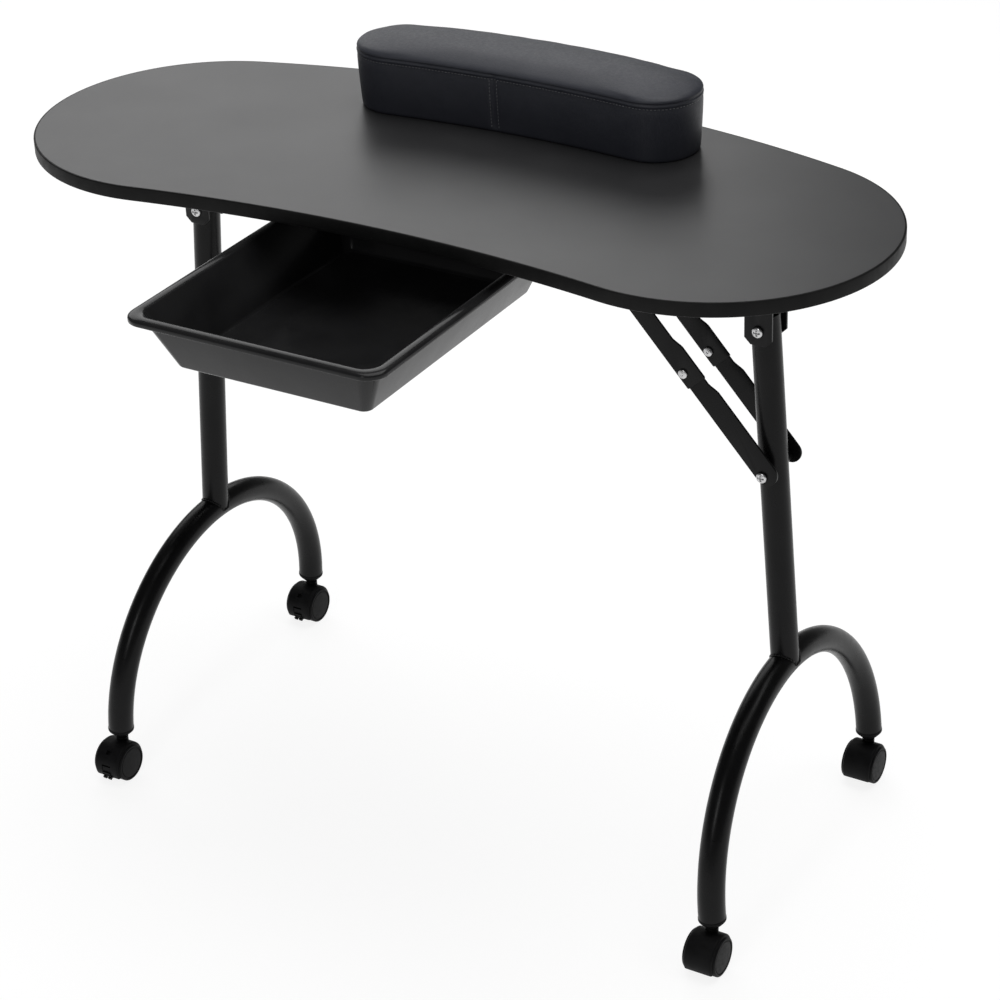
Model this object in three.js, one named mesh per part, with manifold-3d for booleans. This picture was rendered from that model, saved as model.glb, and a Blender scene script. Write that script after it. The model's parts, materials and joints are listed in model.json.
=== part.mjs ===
// Folding manicure table on casters, in millimetres, +Z up.
// The user sits on the -Y side, over the pull-out tray; the client rests a wrist on the +Y side.
// Rest pose: legs opened and locked by their braces, tray pulled out.
import * as THREE from 'three';
import { mergeVertices } from 'three/addons/utils/BufferGeometryUtils.js';
import Module from 'manifold-3d';

const wasm = await Module();
wasm.setup();

// ---- Driving dimensions -------------------------------------------------------------------
const TOP_HEIGHT = 704;           // floor to the upper face of the top
const TOP_THICKNESS = 14;
const UNDERSIDE = TOP_HEIGHT - TOP_THICKNESS;
const TOP_OUTLINE = { endX: 279.4, endY: -32.7, endRadius: 170.6, backY: 179.4, frontY: -175 };
const BAND_THICKNESS = 2;        // plastic edge band round the board
const BAND_CHAMFER = 0.8;
const BAND_GLUE = 0.2;          // between the band and the board's edge

const CUSHION_OUTLINE = { endX: 142, endY: 101, endRadius: 45, backY: 163, frontY: 65 };
const CUSHION_CENTRE_X = 8;
const CUSHION_TOP_SEAM = TOP_HEIGHT + 59;
const CUSHION_CROWN = 11;        // height of the padded crown above the top seam
const CUSHION_ROUND = 14;        // height over which the sides curve in at foot and top
const CUSHION_FOOT_INSET = 3;
const CROWN_SHOULDER = 12;       // how far in the crown is at 0.6 of its height
const CROWN_INSET = 26;          // and at its full height
const CUSHION_BASE_THICKNESS = 3;
const CUSHION_BASE_INSET = 6;

const TRAY_HALF_WIDTH = 135;     // over the rim
const TRAY_LENGTH = 345;
const TRAY_FRONT_Y = -374;       // front of the rim, pulled out
const TRAY_DEPTH = 57;
const TRAY_DRAFT = 22;           // how far the walls lean in from rim to floor
const TRAY_DROP = 21.5;          // underside of the top to the rim
const TRAY_RIM = 12.5;
const TRAY_LIP = 6.5;
const TRAY_WALL = 2.4;
const TRAY_CORNER = 20;
const TRAY_CORNER_TAPER = 0.35;  // how much the corner tightens as the wall moves in
const TRAY_CORNER_LEAST = 8;
const TRAY_FLOOR_ROUND = 4;

const RAIL_WALL = 2;
const RAIL_FRONT_Y = -120;
const RAIL_BACK_Y = 165;
const RAIL_LEDGE = 6;            // reach of the ledge and of the guide over and under the tray's lip
const RAIL_FLANGE = 10;          // screwed to the top
const SLIDE_GAP = 0.5;

const FOOT_X = 353;              // tube ends at the four corners of the stance
const FOOT_Y = 182;
const FOOT_HEIGHT = 56.5;         // floor to the cut end of the arched tube
const LEG_SPLAY = THREE.MathUtils.degToRad(4);
const PIVOT_HEIGHT = 595.5;
const POST_RADIUS = 14;
const ARCH_RADIUS = 13.5;
const TUBE_WALL = 1.5;
const ARCH_STRAIGHT = 0.5;       // short straight run above each foot
const POST_ABOVE_PIVOT = 13;

const STRAP = 2.5;               // thickness of brackets and brace links
const LAYER_GAP = 0.4;
const EAR_LAYER = POST_RADIUS + LAYER_GAP;   // hinge ears, from Y = 0
const SPACER = 9;                // boss that holds the nearer link off the post
const SPACER_RADIUS = 7;
const INNER_LAYER = POST_RADIUS + SPACER + LAYER_GAP;
const OUTER_LAYER = INNER_LAYER + STRAP + LAYER_GAP;
const BRACKET_LAYER = INNER_LAYER - STRAP - LAYER_GAP;
const EAR_HALF_WIDTH = 14;
const EAR_CHAMFER = 0.45;        // cut from the lower corners, as a share of the half width
const BRACE_FOOT_DROP = 144.7;   // leg pivot to brace foot bolt, along the post
const BRACE_TOP = { x: -155, z: 42 };     // brace bracket pin from the leg pivot
const LOWER_LINK = 122;          // brace foot bolt to elbow rivet
const LINK_EDGE = 6.2;           // pivots to the outer edge of the links
const LINK_WIDTH = 23;
const LINK_NECK = 19.5;
const LINK_SHOULDER = 9;         // run of the step in a link's inner edge
const UPPER_SHOULDER = 31;       // elbow rivet to the shoulder of the upper link
const UPPER_TAIL = 15;           // link past the elbow rivet
const LOWER_SHOULDER = 32;
const LOWER_TAIL = 9;
const EAR_DROP = 14;
const HINGE_PLATE_HALF_WIDTH = 32;
const BRACE_EAR_HALF_WIDTH = 12;
const BRACE_EAR_DROP = 9;
const SCREW_HOLE_RADIUS = 2.2;
const SCREW_EDGE = 6;            // screw hole to the end of a bracket's plate

const BOLT_RADIUS = 3.5;
const BOLT_HEAD_RADIUS = 5.4;
const BOLT_HEAD = 3;
const RIVET_HEAD_RADIUS = 4.7;
const RIVET_HEAD = 2.4;
const HOLE_GAP = 0.3;
const TOUCH_GAP = 0.3;

const WHEEL_RADIUS = 20;
const WHEEL_INNER_X = 8;
const WHEEL_OUTER_X = 17.8;
const WHEEL_EDGE = 1.5;          // rounding of the tread's outer edge
const WHEEL_CAP = 2;             // outer face over the end of the axle
const CASTER_TRAIL = 10;         // swivel axis to axle
const HOOD_RADIUS = 22.6;
const HOOD_WALL = 1.7;
const HOOD_HALF_WIDTH = 15.4;
const HOOD_WEB_HALF_WIDTH = 7.5;
const PLUG_HEAD = 9;
const PLUG_SHANK = 12;
const PLUG_NOSE_RADIUS = 8.5;
const PLUG_BEVEL = 5.5;          // height of the bevel below the tube
const PLUG_SLACK = 1;            // room for the bend of the tube above the plug
const STEM_RADIUS = 4;
const STEM_COLLAR_RADIUS = 5.3;
const STEM_FOOT = 27;
const STEM_TOP = 69.5;
const STEM_COLLAR_TOP = 46.9;
const HOOD_BOSS_TOP = 44.6;
const HOOD_BOSS_LENGTH = 20;
const HOOD_BOSS_WALL = 2.1;
const HOOD_HUB_RADIUS = 6;
const HOOD_OVERRUN = 20;         // degrees the hollow runs past each end of the hood
const HOOD_FRONT_ANGLE = 12;     // hood cover, in degrees up from +Y about the axle
const HOOD_BACK_ANGLE = 208;
const LEVER_TOP_ANGLE = 174;
const LEVER_FOOT_ANGLE = 215;
const LEVER_SWING_ROOM = 5;      // degrees of pocket above the lever
const LEVER_INNER_RADIUS = 15.6;
const LEVER_FOOT_ROOM = 5;       // and below it
const LEVER_HALF_WIDTH = 5;
const LEVER_LIP = { length: 5, thickness: 3.2, fromFoot: 7 };
const AXLE_SHORT = 2.3;          // axle end below the wheel face
const AXLE_RADIUS = 2;

// Sides of round pieces.
const BOLT_SIDES = 10;
const STEM_SIDES = 12;
const WHEEL_SIDES = 20;
const POST_SIDES = 16;
const ARCH_SIDES = 12;
const ARCH_STEPS = 22;
const HOOD_STEPS = 12;

// The stance is centred on the origin in X. In Y the origin is the middle of the whole object,
// from the front of the pulled-out tray to the front edge of the rear caster hoods.
const REAR_Y = FOOT_Y - CASTER_TRAIL + HOOD_RADIUS * Math.cos(THREE.MathUtils.degToRad(HOOD_FRONT_ANGLE));
const ORIGIN_Y = (TRAY_FRONT_Y + REAR_Y) / 2;

// ---- Materials ----------------------------------------------------------------------------
function finish(color, roughness, metalness = 0) {
  return new THREE.MeshStandardMaterial({ color, roughness, metalness });
}
const LAMINATE = finish(0x4a4a4b, 0.55);
const EDGE = finish(0x141414, 0.45);
const LEATHER = finish(0x303236, 0.5);
const HARDBOARD = finish(0x5a4632, 0.85);
const TRAY_PLASTIC = finish(0x0c0c0d, 0.12);
const RAIL_PLASTIC = finish(0x161616, 0.5);
const BLACK_STEEL = finish(0x161617, 0.4, 0.3);
const BLACK_NYLON = finish(0x1a1a1b, 0.45);
const ZINC = finish(0xc4c6c8, 0.25, 1);

// ---- Solid helpers ------------------------------------------------------------------------
function toSolid(geometry) {
  const plain = geometry.clone();
  plain.deleteAttribute('normal');
  plain.deleteAttribute('uv');
  const merged = mergeVertices(plain, 1e-4);
  return new wasm.Manifold(new wasm.Mesh({
    numProp: 3,
    vertProperties: new Float32Array(merged.attributes.position.array),
    triVerts: new Uint32Array(merged.index.array),
  }));
}

function toGeometry(solid) {
  const mesh = solid.getMesh();
  const geometry = new THREE.BufferGeometry();
  geometry.setAttribute('position', new THREE.BufferAttribute(new Float32Array(mesh.vertProperties), 3));
  geometry.setIndex(new THREE.BufferAttribute(new Uint32Array(mesh.triVerts), 1));
  geometry.computeVertexNormals();
  return geometry;
}

function join(...geometries) {
  return toGeometry(geometries.map(toSolid).reduce((sum, next) => sum.add(next)));
}

function cut(body, ...tools) {
  return toGeometry(tools.map(toSolid).reduce((rest, tool) => rest.subtract(tool), toSolid(body)));
}

// Rings of equally many points, joined in order; the last ring meets the first when looped is true,
// and otherwise the first and the last ring are capped.
function loft(rings, looped = false) {
  const count = rings[0].length;
  const points = rings.flat();
  const index = [];
  const bands = looped ? rings.length : rings.length - 1;
  for (let ring = 0; ring < bands; ring += 1) {
    const low = ring * count;
    const high = ((ring + 1) % rings.length) * count;
    for (let i = 0; i < count; i += 1) {
      const next = (i + 1) % count;
      index.push(low + i, low + next, high + next, low + i, high + next, high + i);
    }
  }
  if (!looped) {
    const last = (rings.length - 1) * count;
    const flat = rings[0].map((p) => new THREE.Vector2(p.x, p.y));
    for (const [a, b, c] of THREE.ShapeUtils.triangulateShape(flat, [])) {
      index.push(c, b, a);
      index.push(last + a, last + b, last + c);
    }
  }
  const geometry = new THREE.BufferGeometry().setFromPoints(points);
  geometry.setIndex(index);
  geometry.computeVertexNormals();
  return geometry;
}

// A plate drawn in X and Z, starting at y and thick towards +Y.
function plateXZ(shape, y, thickness, curveSegments = BOLT_SIDES / 2) {
  const geometry = new THREE.ExtrudeGeometry(shape, { depth: thickness, bevelEnabled: false, curveSegments });
  geometry.applyMatrix4(new THREE.Matrix4().makeBasis(
    new THREE.Vector3(1, 0, 0), new THREE.Vector3(0, 0, 1), new THREE.Vector3(0, -1, 0)));
  return geometry.translate(0, y + thickness, 0);
}

// A body drawn in Y and Z, spread evenly to both sides of X = 0.
function slabYZ(shape, halfWidth, curveSegments = HOOD_STEPS) {
  const geometry = new THREE.ExtrudeGeometry(
    shape, { depth: 2 * halfWidth, bevelEnabled: false, curveSegments });
  geometry.applyMatrix4(new THREE.Matrix4().makeBasis(
    new THREE.Vector3(0, 1, 0), new THREE.Vector3(0, 0, 1), new THREE.Vector3(1, 0, 0)));
  return geometry.translate(-halfWidth, 0, 0);
}

function cylinderY(radius, length, x, y, z, segments = BOLT_SIDES) {
  return new THREE.CylinderGeometry(radius, radius, length, segments).translate(x, y, z);
}

function cylinderZ(radius, length, x, y, z, segments = BOLT_SIDES) {
  return new THREE.CylinderGeometry(radius, radius, length, segments).rotateX(Math.PI / 2).translate(x, y, z);
}

function latheZ(profile, segments) {
  const points = profile.map(([r, z]) => new THREE.Vector2(r, z));
  return new THREE.LatheGeometry(points, segments).rotateX(Math.PI / 2);
}

function piece(name, geometry, material) {
  const mesh = new THREE.Mesh(geometry, material);
  mesh.name = name;
  return mesh;
}

// ---- Bean-shaped outlines -----------------------------------------------------------------
// Two round ends joined by a bowed back edge and a hollow front edge, all four arcs tangent.
// inset moves the whole outline inwards.
function beanRing(outline, inset, z, centreX = 0, endSteps = 20, edgeSteps = 10) {
  const { endX, endY, endRadius, backY, frontY } = outline;
  const rise = backY - endY;
  const drop = endY - frontY;
  const backRadius = (endX ** 2 + rise ** 2 - endRadius ** 2) / (2 * (rise - endRadius));
  const frontRadius = (endX ** 2 + drop ** 2 - endRadius ** 2) / (2 * (endRadius - drop));
  const backCentreY = backY - backRadius;
  const frontCentreY = frontY - frontRadius;
  const backTurn = Math.atan2(endX, endY - backCentreY);
  const frontTurn = Math.atan2(endX, endY - frontCentreY);
  const ring = [];
  const arc = (cx, cy, radius, from, to, steps) => {
    for (let i = 0; i < steps; i += 1) {
      const angle = from + (to - from) * i / steps;
      ring.push(new THREE.Vector3(centreX + cx + radius * Math.cos(angle), cy + radius * Math.sin(angle), z));
    }
  };
  const up = Math.PI / 2;
  arc(endX, endY, endRadius - inset, -up - frontTurn, up - backTurn, endSteps);
  arc(0, backCentreY, backRadius - inset, up - backTurn, up + backTurn, edgeSteps);
  arc(-endX, endY, endRadius - inset, up + backTurn, 3 * up + frontTurn, endSteps);
  arc(0, frontCentreY, frontRadius + inset, up + frontTurn, up - frontTurn, edgeSteps);
  return ring;
}

function tableTop() {
  const board = loft([
    beanRing(TOP_OUTLINE, BAND_THICKNESS + BAND_GLUE, UNDERSIDE),
    beanRing(TOP_OUTLINE, BAND_THICKNESS + BAND_GLUE, TOP_HEIGHT),
  ]);
  const band = loft([
    beanRing(TOP_OUTLINE, BAND_THICKNESS, UNDERSIDE),
    beanRing(TOP_OUTLINE, BAND_CHAMFER, UNDERSIDE),
    beanRing(TOP_OUTLINE, 0, UNDERSIDE + BAND_CHAMFER),
    beanRing(TOP_OUTLINE, 0, TOP_HEIGHT - BAND_CHAMFER),
    beanRing(TOP_OUTLINE, BAND_CHAMFER, TOP_HEIGHT),
    beanRing(TOP_OUTLINE, BAND_THICKNESS, TOP_HEIGHT),
  ], true);
  return [
    piece('tabletop_board', board, LAMINATE),
    piece('tabletop_edge_band', band, EDGE),
  ];
}

function wristCushion() {
  const floor = TOP_HEIGHT + TOUCH_GAP;
  const ring = (inset, z) => beanRing(CUSHION_OUTLINE, inset, z, CUSHION_CENTRE_X, 10, 8);
  const pad = loft([
    ring(CUSHION_FOOT_INSET, floor),
    ring(CUSHION_FOOT_INSET / 4, floor + CUSHION_ROUND),
    ring(0, CUSHION_TOP_SEAM - CUSHION_ROUND),
    ring(0, CUSHION_TOP_SEAM),
    ring(CROWN_SHOULDER, CUSHION_TOP_SEAM + 0.6 * CUSHION_CROWN),
    ring(CROWN_INSET, CUSHION_TOP_SEAM + CUSHION_CROWN),
  ]);
  const pocket = loft([
    ring(CUSHION_BASE_INSET - TOUCH_GAP, floor - 1),
    ring(CUSHION_BASE_INSET - TOUCH_GAP, floor + CUSHION_BASE_THICKNESS + TOUCH_GAP),
  ]);
  const base = loft([
    ring(CUSHION_BASE_INSET, floor),
    ring(CUSHION_BASE_INSET, floor + CUSHION_BASE_THICKNESS),
  ]);
  return [
    piece('wrist_cushion', cut(pad, pocket), LEATHER),
    piece('cushion_base_board', base, HARDBOARD),
  ];
}

// ---- Tray and its rails -------------------------------------------------------------------
function roundedRing(halfX, halfY, radius, z, steps = 6) {
  const ring = [];
  const corners = [[1, -1, -90], [1, 1, 0], [-1, 1, 90], [-1, -1, 180]];
  for (const [sx, sy, start] of corners) {
    for (let i = 0; i <= steps; i += 1) {
      const angle = THREE.MathUtils.degToRad(start + 90 * i / steps);
      ring.push(new THREE.Vector3(
        sx * (halfX - radius) + radius * Math.cos(angle),
        sy * (halfY - radius) + radius * Math.sin(angle), z));
    }
  }
  return ring;
}

function pulledOutTray() {
  const rimTop = UNDERSIDE - TRAY_DROP;
  const floor = rimTop - TRAY_DEPTH;
  const halfLength = TRAY_LENGTH / 2;
  const corner = (inset) => Math.max(TRAY_CORNER - TRAY_CORNER_TAPER * inset, TRAY_CORNER_LEAST);
  const ring = (inset, z) => roundedRing(
    TRAY_HALF_WIDTH - inset, halfLength - inset, corner(inset), z);
  const wallTop = TRAY_RIM - TRAY_WALL;
  const wallFoot = wallTop + TRAY_DRAFT;
  const tray = loft([
    ring(wallFoot + TRAY_FLOOR_ROUND, floor),
    ring(wallFoot, floor + TRAY_FLOOR_ROUND),
    ring(wallTop, rimTop - TRAY_WALL),
    ring(TRAY_WALL, rimTop - TRAY_WALL),
    ring(TRAY_WALL, rimTop - TRAY_LIP),
    ring(0.4, rimTop - TRAY_LIP),
    ring(0, rimTop - 2),
    ring(1.6, rimTop),
    ring(TRAY_RIM - 1, rimTop),
    ring(TRAY_RIM, rimTop - 1.5),
    ring(wallFoot + TRAY_WALL, floor + 5),
    ring(wallFoot + TRAY_WALL + 3, floor + TRAY_WALL),
  ]);
  tray.translate(0, TRAY_FRONT_Y + halfLength, 0);
  return piece('pull_out_tray', tray, TRAY_PLASTIC);
}

function trayRail(side) {
  const sign = side === 'right' ? 1 : -1;
  const web = TRAY_HALF_WIDTH + SLIDE_GAP;
  const outer = web + RAIL_WALL;
  const flange = outer - RAIL_FLANGE;
  const ledge = web - RAIL_LEDGE;
  const guide = UNDERSIDE - TRAY_DROP + SLIDE_GAP;
  const lipFloor = UNDERSIDE - TRAY_DROP - SLIDE_GAP - TRAY_LIP;
  const profile = [
    [flange, UNDERSIDE - TOUCH_GAP], [flange, UNDERSIDE - RAIL_WALL], [web, UNDERSIDE - RAIL_WALL],
    [web, guide + RAIL_WALL], [ledge, guide + RAIL_WALL], [ledge, guide], [web, guide],
    [web, lipFloor], [ledge, lipFloor], [ledge, lipFloor - RAIL_WALL],
    [outer, lipFloor - RAIL_WALL], [outer, UNDERSIDE - TOUCH_GAP],
  ];
  const shape = new THREE.Shape(profile.map(([x, z]) => new THREE.Vector2(sign * x, z)));
  return piece(`tray_rail_${side}`, plateXZ(shape, RAIL_FRONT_Y, RAIL_BACK_Y - RAIL_FRONT_Y), RAIL_PLASTIC);
}

// ---- Brackets under the top ---------------------------------------------------------------
// A U-shaped bracket with two ears, one each side of Y = 0, that hold a pin at (0, 0, 0).
// frontLayer and rearLayer are the distances of the ears from Y = 0.
function earBracket(halfWidth, rise, drop, plateHalfWidth, frontLayer, rearLayer) {
  const earShape = new THREE.Shape();
  const chamfer = halfWidth * EAR_CHAMFER;
  earShape.moveTo(-halfWidth, rise);
  earShape.lineTo(-halfWidth, chamfer - drop);
  earShape.lineTo(chamfer - halfWidth, -drop);
  earShape.lineTo(halfWidth - chamfer, -drop);
  earShape.lineTo(halfWidth, chamfer - drop);
  earShape.lineTo(halfWidth, rise);
  earShape.closePath();
  const hole = new THREE.Path();
  hole.absarc(0, 0, BOLT_RADIUS + HOLE_GAP, 0, 2 * Math.PI, true);
  earShape.holes.push(hole);
  const plate = new THREE.BoxGeometry(2 * plateHalfWidth, frontLayer + rearLayer + 2 * STRAP, STRAP);
  plate.translate(0, (rearLayer - frontLayer) / 2, rise - STRAP / 2);
  const screwHoles = [-1, 1].map((s) => cylinderZ(
    SCREW_HOLE_RADIUS, 4 * STRAP, s * (plateHalfWidth - SCREW_EDGE), 0, rise));
  const ears = [plateXZ(earShape, rearLayer, STRAP), plateXZ(earShape, -frontLayer - STRAP, STRAP)];
  const body = join(plate, ...ears);
  return cut(body, ...screwHoles);
}

// A headed bolt along Y with a domed head at each end, gripping from -frontGrip to rearGrip.
function crossBolt(frontGrip, rearGrip) {
  const head = [
    [0, BOLT_HEAD], [0.6 * BOLT_HEAD_RADIUS, BOLT_HEAD], [BOLT_HEAD_RADIUS, 0.4 * BOLT_HEAD],
    [BOLT_HEAD_RADIUS, 0], [BOLT_RADIUS, 0],
  ];
  const front = head.map(([r, out]) => new THREE.Vector2(r, -frontGrip - out));
  const rear = head.map(([r, out]) => new THREE.Vector2(r, rearGrip + out)).reverse();
  return new THREE.LatheGeometry([...front, ...rear], BOLT_SIDES);
}

// ---- Brace links --------------------------------------------------------------------------
// A flat link along +X with a pivot at (0, 0) and one at (length, 0). Its outer edge is straight on
// the -Z side; its inner edge steps from footWidth to elbowWidth over the shoulder.
function linkPlate(length, tail, footWidth, elbowWidth, shoulder, y) {
  const low = -LINK_EDGE;
  const foot = low + footWidth;
  const elbow = low + elbowWidth;
  const end = length + tail;
  const shape = new THREE.Shape();
  shape.moveTo(0, low);
  shape.lineTo(end - 1, low);
  shape.lineTo(end, low + 1);
  shape.lineTo(end, elbow - 1);
  shape.lineTo(end - 1, elbow);
  shape.lineTo(shoulder + LINK_SHOULDER, elbow);
  shape.lineTo(shoulder, foot);
  shape.lineTo(0, foot);
  shape.absarc(0, (low + foot) / 2, footWidth / 2, Math.PI / 2, 3 * Math.PI / 2, false);
  for (const x of [0, length]) {
    const hole = new THREE.Path();
    hole.absarc(x, 0, BOLT_RADIUS + HOLE_GAP, 0, 2 * Math.PI, true);
    shape.holes.push(hole);
  }
  return plateXZ(shape, y, STRAP);
}

// A rivet whose shank starts at y and whose head lies towards -Y, one link thickness away.
function elbowRivet(x, y) {
  const face = STRAP + TOUCH_GAP / 3;
  const profile = [
    [0, 0], [BOLT_RADIUS, 0], [BOLT_RADIUS, face], [RIVET_HEAD_RADIUS, face],
    [RIVET_HEAD_RADIUS, face + RIVET_HEAD / 2], [RIVET_HEAD_RADIUS / 2, face + RIVET_HEAD],
    [0, face + RIVET_HEAD],
  ];
  const points = profile.map(([radius, out]) => new THREE.Vector2(radius, out));
  return new THREE.LatheGeometry(points, BOLT_SIDES).rotateX(Math.PI).translate(x, y, 0);
}

// Both legs are built as the right one. The left one is the same leg turned half a turn about Z, so
// its front and rear pieces change places; spots gives the name for each Y side.
function braceLinks(side, legX, spots) {
  const footX = BRACE_FOOT_DROP * Math.sin(LEG_SPLAY);
  const footZ = -BRACE_FOOT_DROP * Math.cos(LEG_SPLAY);
  const reach = Math.hypot(footX - BRACE_TOP.x, footZ - BRACE_TOP.z);
  const slope = Math.atan2(BRACE_TOP.z - footZ, footX - BRACE_TOP.x);
  const upperLink = reach - LOWER_LINK;
  const upper = new THREE.Group();
  upper.position.set(legX + BRACE_TOP.x, 0, PIVOT_HEIGHT + BRACE_TOP.z);
  upper.rotation.y = slope;
  const lower = new THREE.Group();
  lower.position.set(legX + footX, 0, PIVOT_HEIGHT + footZ);
  lower.rotation.y = slope + Math.PI;
  for (const spot of spots) {
    // On both sides of the post the upper link lies nearer to -Y than the lower link.
    const upperY = spot.sign > 0 ? INNER_LAYER : -OUTER_LAYER - STRAP;
    const lowerY = spot.sign > 0 ? OUTER_LAYER : -INNER_LAYER - STRAP;
    const upperPlate = linkPlate(
      upperLink, UPPER_TAIL, LINK_NECK, LINK_WIDTH, upperLink - UPPER_SHOULDER, upperY);
    // The lower link points the other way, so its outer edge is turned over to the same side.
    const lowerPlate = linkPlate(
      LOWER_LINK, LOWER_TAIL, LINK_WIDTH, LINK_NECK, LOWER_LINK - LOWER_SHOULDER, -lowerY - STRAP);
    lowerPlate.rotateX(Math.PI);
    upper.add(piece(`upper_brace_link_${side}_${spot.name}`, upperPlate, BLACK_STEEL));
    upper.add(piece(`elbow_rivet_${side}_${spot.name}`, elbowRivet(upperLink, upperY + STRAP), ZINC));
    lower.add(piece(`lower_brace_link_${side}_${spot.name}`, lowerPlate, BLACK_STEEL));
  }
  return [upper, lower];
}

// ---- Leg: post and arched foot tube -------------------------------------------------------
class ArchCurve extends THREE.Curve {
  constructor(radius, straight) {
    super();
    this.radius = radius;
    this.straight = straight;
  }

  // From the foot at -Y up and over to the foot at +Y; the top of the arch is at Z = 0.
  getPoint(t, target = new THREE.Vector3()) {
    const half = Math.PI * this.radius / 2;
    const along = (t - 0.5) * 2 * (half + this.straight);
    const turned = Math.min(Math.abs(along), half) / this.radius;
    const below = Math.max(Math.abs(along) - half, 0);
    return target.set(0, Math.sign(along) * this.radius * Math.sin(turned),
      this.radius * (Math.cos(turned) - 1) - below);
  }
}

function tubeSection(outer) {
  const section = new THREE.Shape();
  section.absarc(0, 0, outer, 0, 2 * Math.PI, false);
  const hole = new THREE.Path();
  hole.absarc(0, 0, outer - TUBE_WALL, 0, 2 * Math.PI, true);
  section.holes.push(hole);
  return section;
}

function archTube(apexZ) {
  const geometry = new THREE.ExtrudeGeometry(tubeSection(ARCH_RADIUS), {
    steps: ARCH_STEPS, curveSegments: ARCH_SIDES / 2, extrudePath: new ArchCurve(FOOT_Y, ARCH_STRAIGHT) });
  return geometry.translate(0, 0, apexZ);
}

function postTube(apexZ) {
  const length = POST_ABOVE_PIVOT - apexZ;
  const tube = new THREE.ExtrudeGeometry(tubeSection(POST_RADIUS), {
    depth: length, bevelEnabled: false, curveSegments: POST_SIDES / 2 });
  tube.translate(0, 0, apexZ);
  const frontBoss = INNER_LAYER - LAYER_GAP;
  const rearBoss = OUTER_LAYER - LAYER_GAP;
  const spacers = cut(
    cylinderY(SPACER_RADIUS, frontBoss + rearBoss,
      0, (rearBoss - frontBoss) / 2, -BRACE_FOOT_DROP, STEM_SIDES),
    cylinderZ(POST_RADIUS - TUBE_WALL / 2, 4 * SPACER_RADIUS, 0, 0, -BRACE_FOOT_DROP, POST_SIDES));
  return cut(join(tube, spacers),
    cylinderY(ARCH_RADIUS + TOUCH_GAP, 4 * POST_RADIUS, 0, 0, apexZ, POST_SIDES),
    cylinderY(BOLT_RADIUS + HOLE_GAP, 4 * POST_RADIUS, 0, 0, 0),
    cylinderY(BOLT_RADIUS + HOLE_GAP, 4 * POST_RADIUS, 0, 0, -BRACE_FOOT_DROP));
}

// Plastic plug pressed into the tube end, with an upright bore for the caster stem.
function tubePlug() {
  const shank = ARCH_RADIUS - TUBE_WALL - PLUG_SLACK;
  const headTop = -TOUCH_GAP;
  const plug = latheZ([
    [0, -PLUG_HEAD], [PLUG_NOSE_RADIUS, -PLUG_HEAD], [ARCH_RADIUS, PLUG_BEVEL - PLUG_HEAD],
    [ARCH_RADIUS, headTop], [shank, headTop], [shank, PLUG_SHANK - 1.5], [shank - 1.5, PLUG_SHANK],
    [0, PLUG_SHANK],
  ], POST_SIDES);
  const stemBore = cylinderZ(
    STEM_RADIUS + HOLE_GAP, 4 * (PLUG_HEAD + PLUG_SHANK), 0, 0, 0, STEM_SIDES);
  stemBore.rotateY(LEG_SPLAY);
  return cut(plug, stemBore);
}

function leg(side, spots) {
  const legX = FOOT_X - (PIVOT_HEIGHT - FOOT_HEIGHT) * Math.tan(LEG_SPLAY);
  const footZ = -(PIVOT_HEIGHT - FOOT_HEIGHT) / Math.cos(LEG_SPLAY);
  const apexZ = footZ + ARCH_STRAIGHT + FOOT_Y;

  const swinging = new THREE.Group();
  swinging.position.set(legX, 0, PIVOT_HEIGHT);
  swinging.rotation.y = -LEG_SPLAY;
  swinging.add(piece(`leg_post_${side}`, postTube(apexZ), BLACK_STEEL));
  swinging.add(piece(`arched_foot_${side}`, archTube(apexZ), BLACK_STEEL));
  swinging.add(piece(`brace_foot_bolt_${side}`,
    crossBolt(OUTER_LAYER, OUTER_LAYER + STRAP + LAYER_GAP).translate(0, 0, -BRACE_FOOT_DROP), ZINC));
  for (const spot of spots) {
    const plug = piece(`tube_plug_${side}_${spot.name}`, tubePlug(), BLACK_NYLON);
    plug.position.set(0, spot.sign * FOOT_Y, footZ);
    swinging.add(plug);
  }

  const plateTop = UNDERSIDE - TOUCH_GAP - PIVOT_HEIGHT;
  const hinge = piece(`leg_hinge_bracket_${side}`,
    earBracket(EAR_HALF_WIDTH, plateTop, EAR_DROP, HINGE_PLATE_HALF_WIDTH, EAR_LAYER, EAR_LAYER),
    BLACK_STEEL);
  hinge.position.set(legX, 0, PIVOT_HEIGHT);
  const earGrip = EAR_LAYER + STRAP + LAYER_GAP;
  const pivotBolt = piece(`leg_pivot_bolt_${side}`, crossBolt(earGrip, earGrip), ZINC);
  pivotBolt.position.set(legX, 0, PIVOT_HEIGHT);

  const braceBracket = piece(`brace_bracket_${side}`,
    earBracket(BRACE_EAR_HALF_WIDTH, plateTop - BRACE_TOP.z, BRACE_EAR_DROP, BRACE_EAR_HALF_WIDTH,
      INNER_LAYER, BRACKET_LAYER), BLACK_STEEL);
  braceBracket.position.set(legX + BRACE_TOP.x, 0, PIVOT_HEIGHT + BRACE_TOP.z);
  const bracePin = piece(`brace_pin_${side}`, crossBolt(OUTER_LAYER + STRAP + LAYER_GAP, OUTER_LAYER), ZINC);
  bracePin.position.copy(braceBracket.position);

  const group = new THREE.Group();
  group.add(swinging, hinge, pivotBolt, braceBracket, bracePin, ...braceLinks(side, legX, spots));
  group.rotation.z = side === 'left' ? Math.PI : 0;
  return group;
}

// ---- Casters ------------------------------------------------------------------------------
// Drawn about the swivel axis with the floor at Z = 0; the axle trails towards -Y.
const AXLE_Y = -CASTER_TRAIL;

function hoodSector(radius, from, to) {
  const shape = new THREE.Shape();
  shape.moveTo(AXLE_Y, WHEEL_RADIUS);
  shape.absarc(AXLE_Y, WHEEL_RADIUS, radius,
    THREE.MathUtils.degToRad(from), THREE.MathUtils.degToRad(to), false);
  shape.closePath();
  return shape;
}

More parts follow.
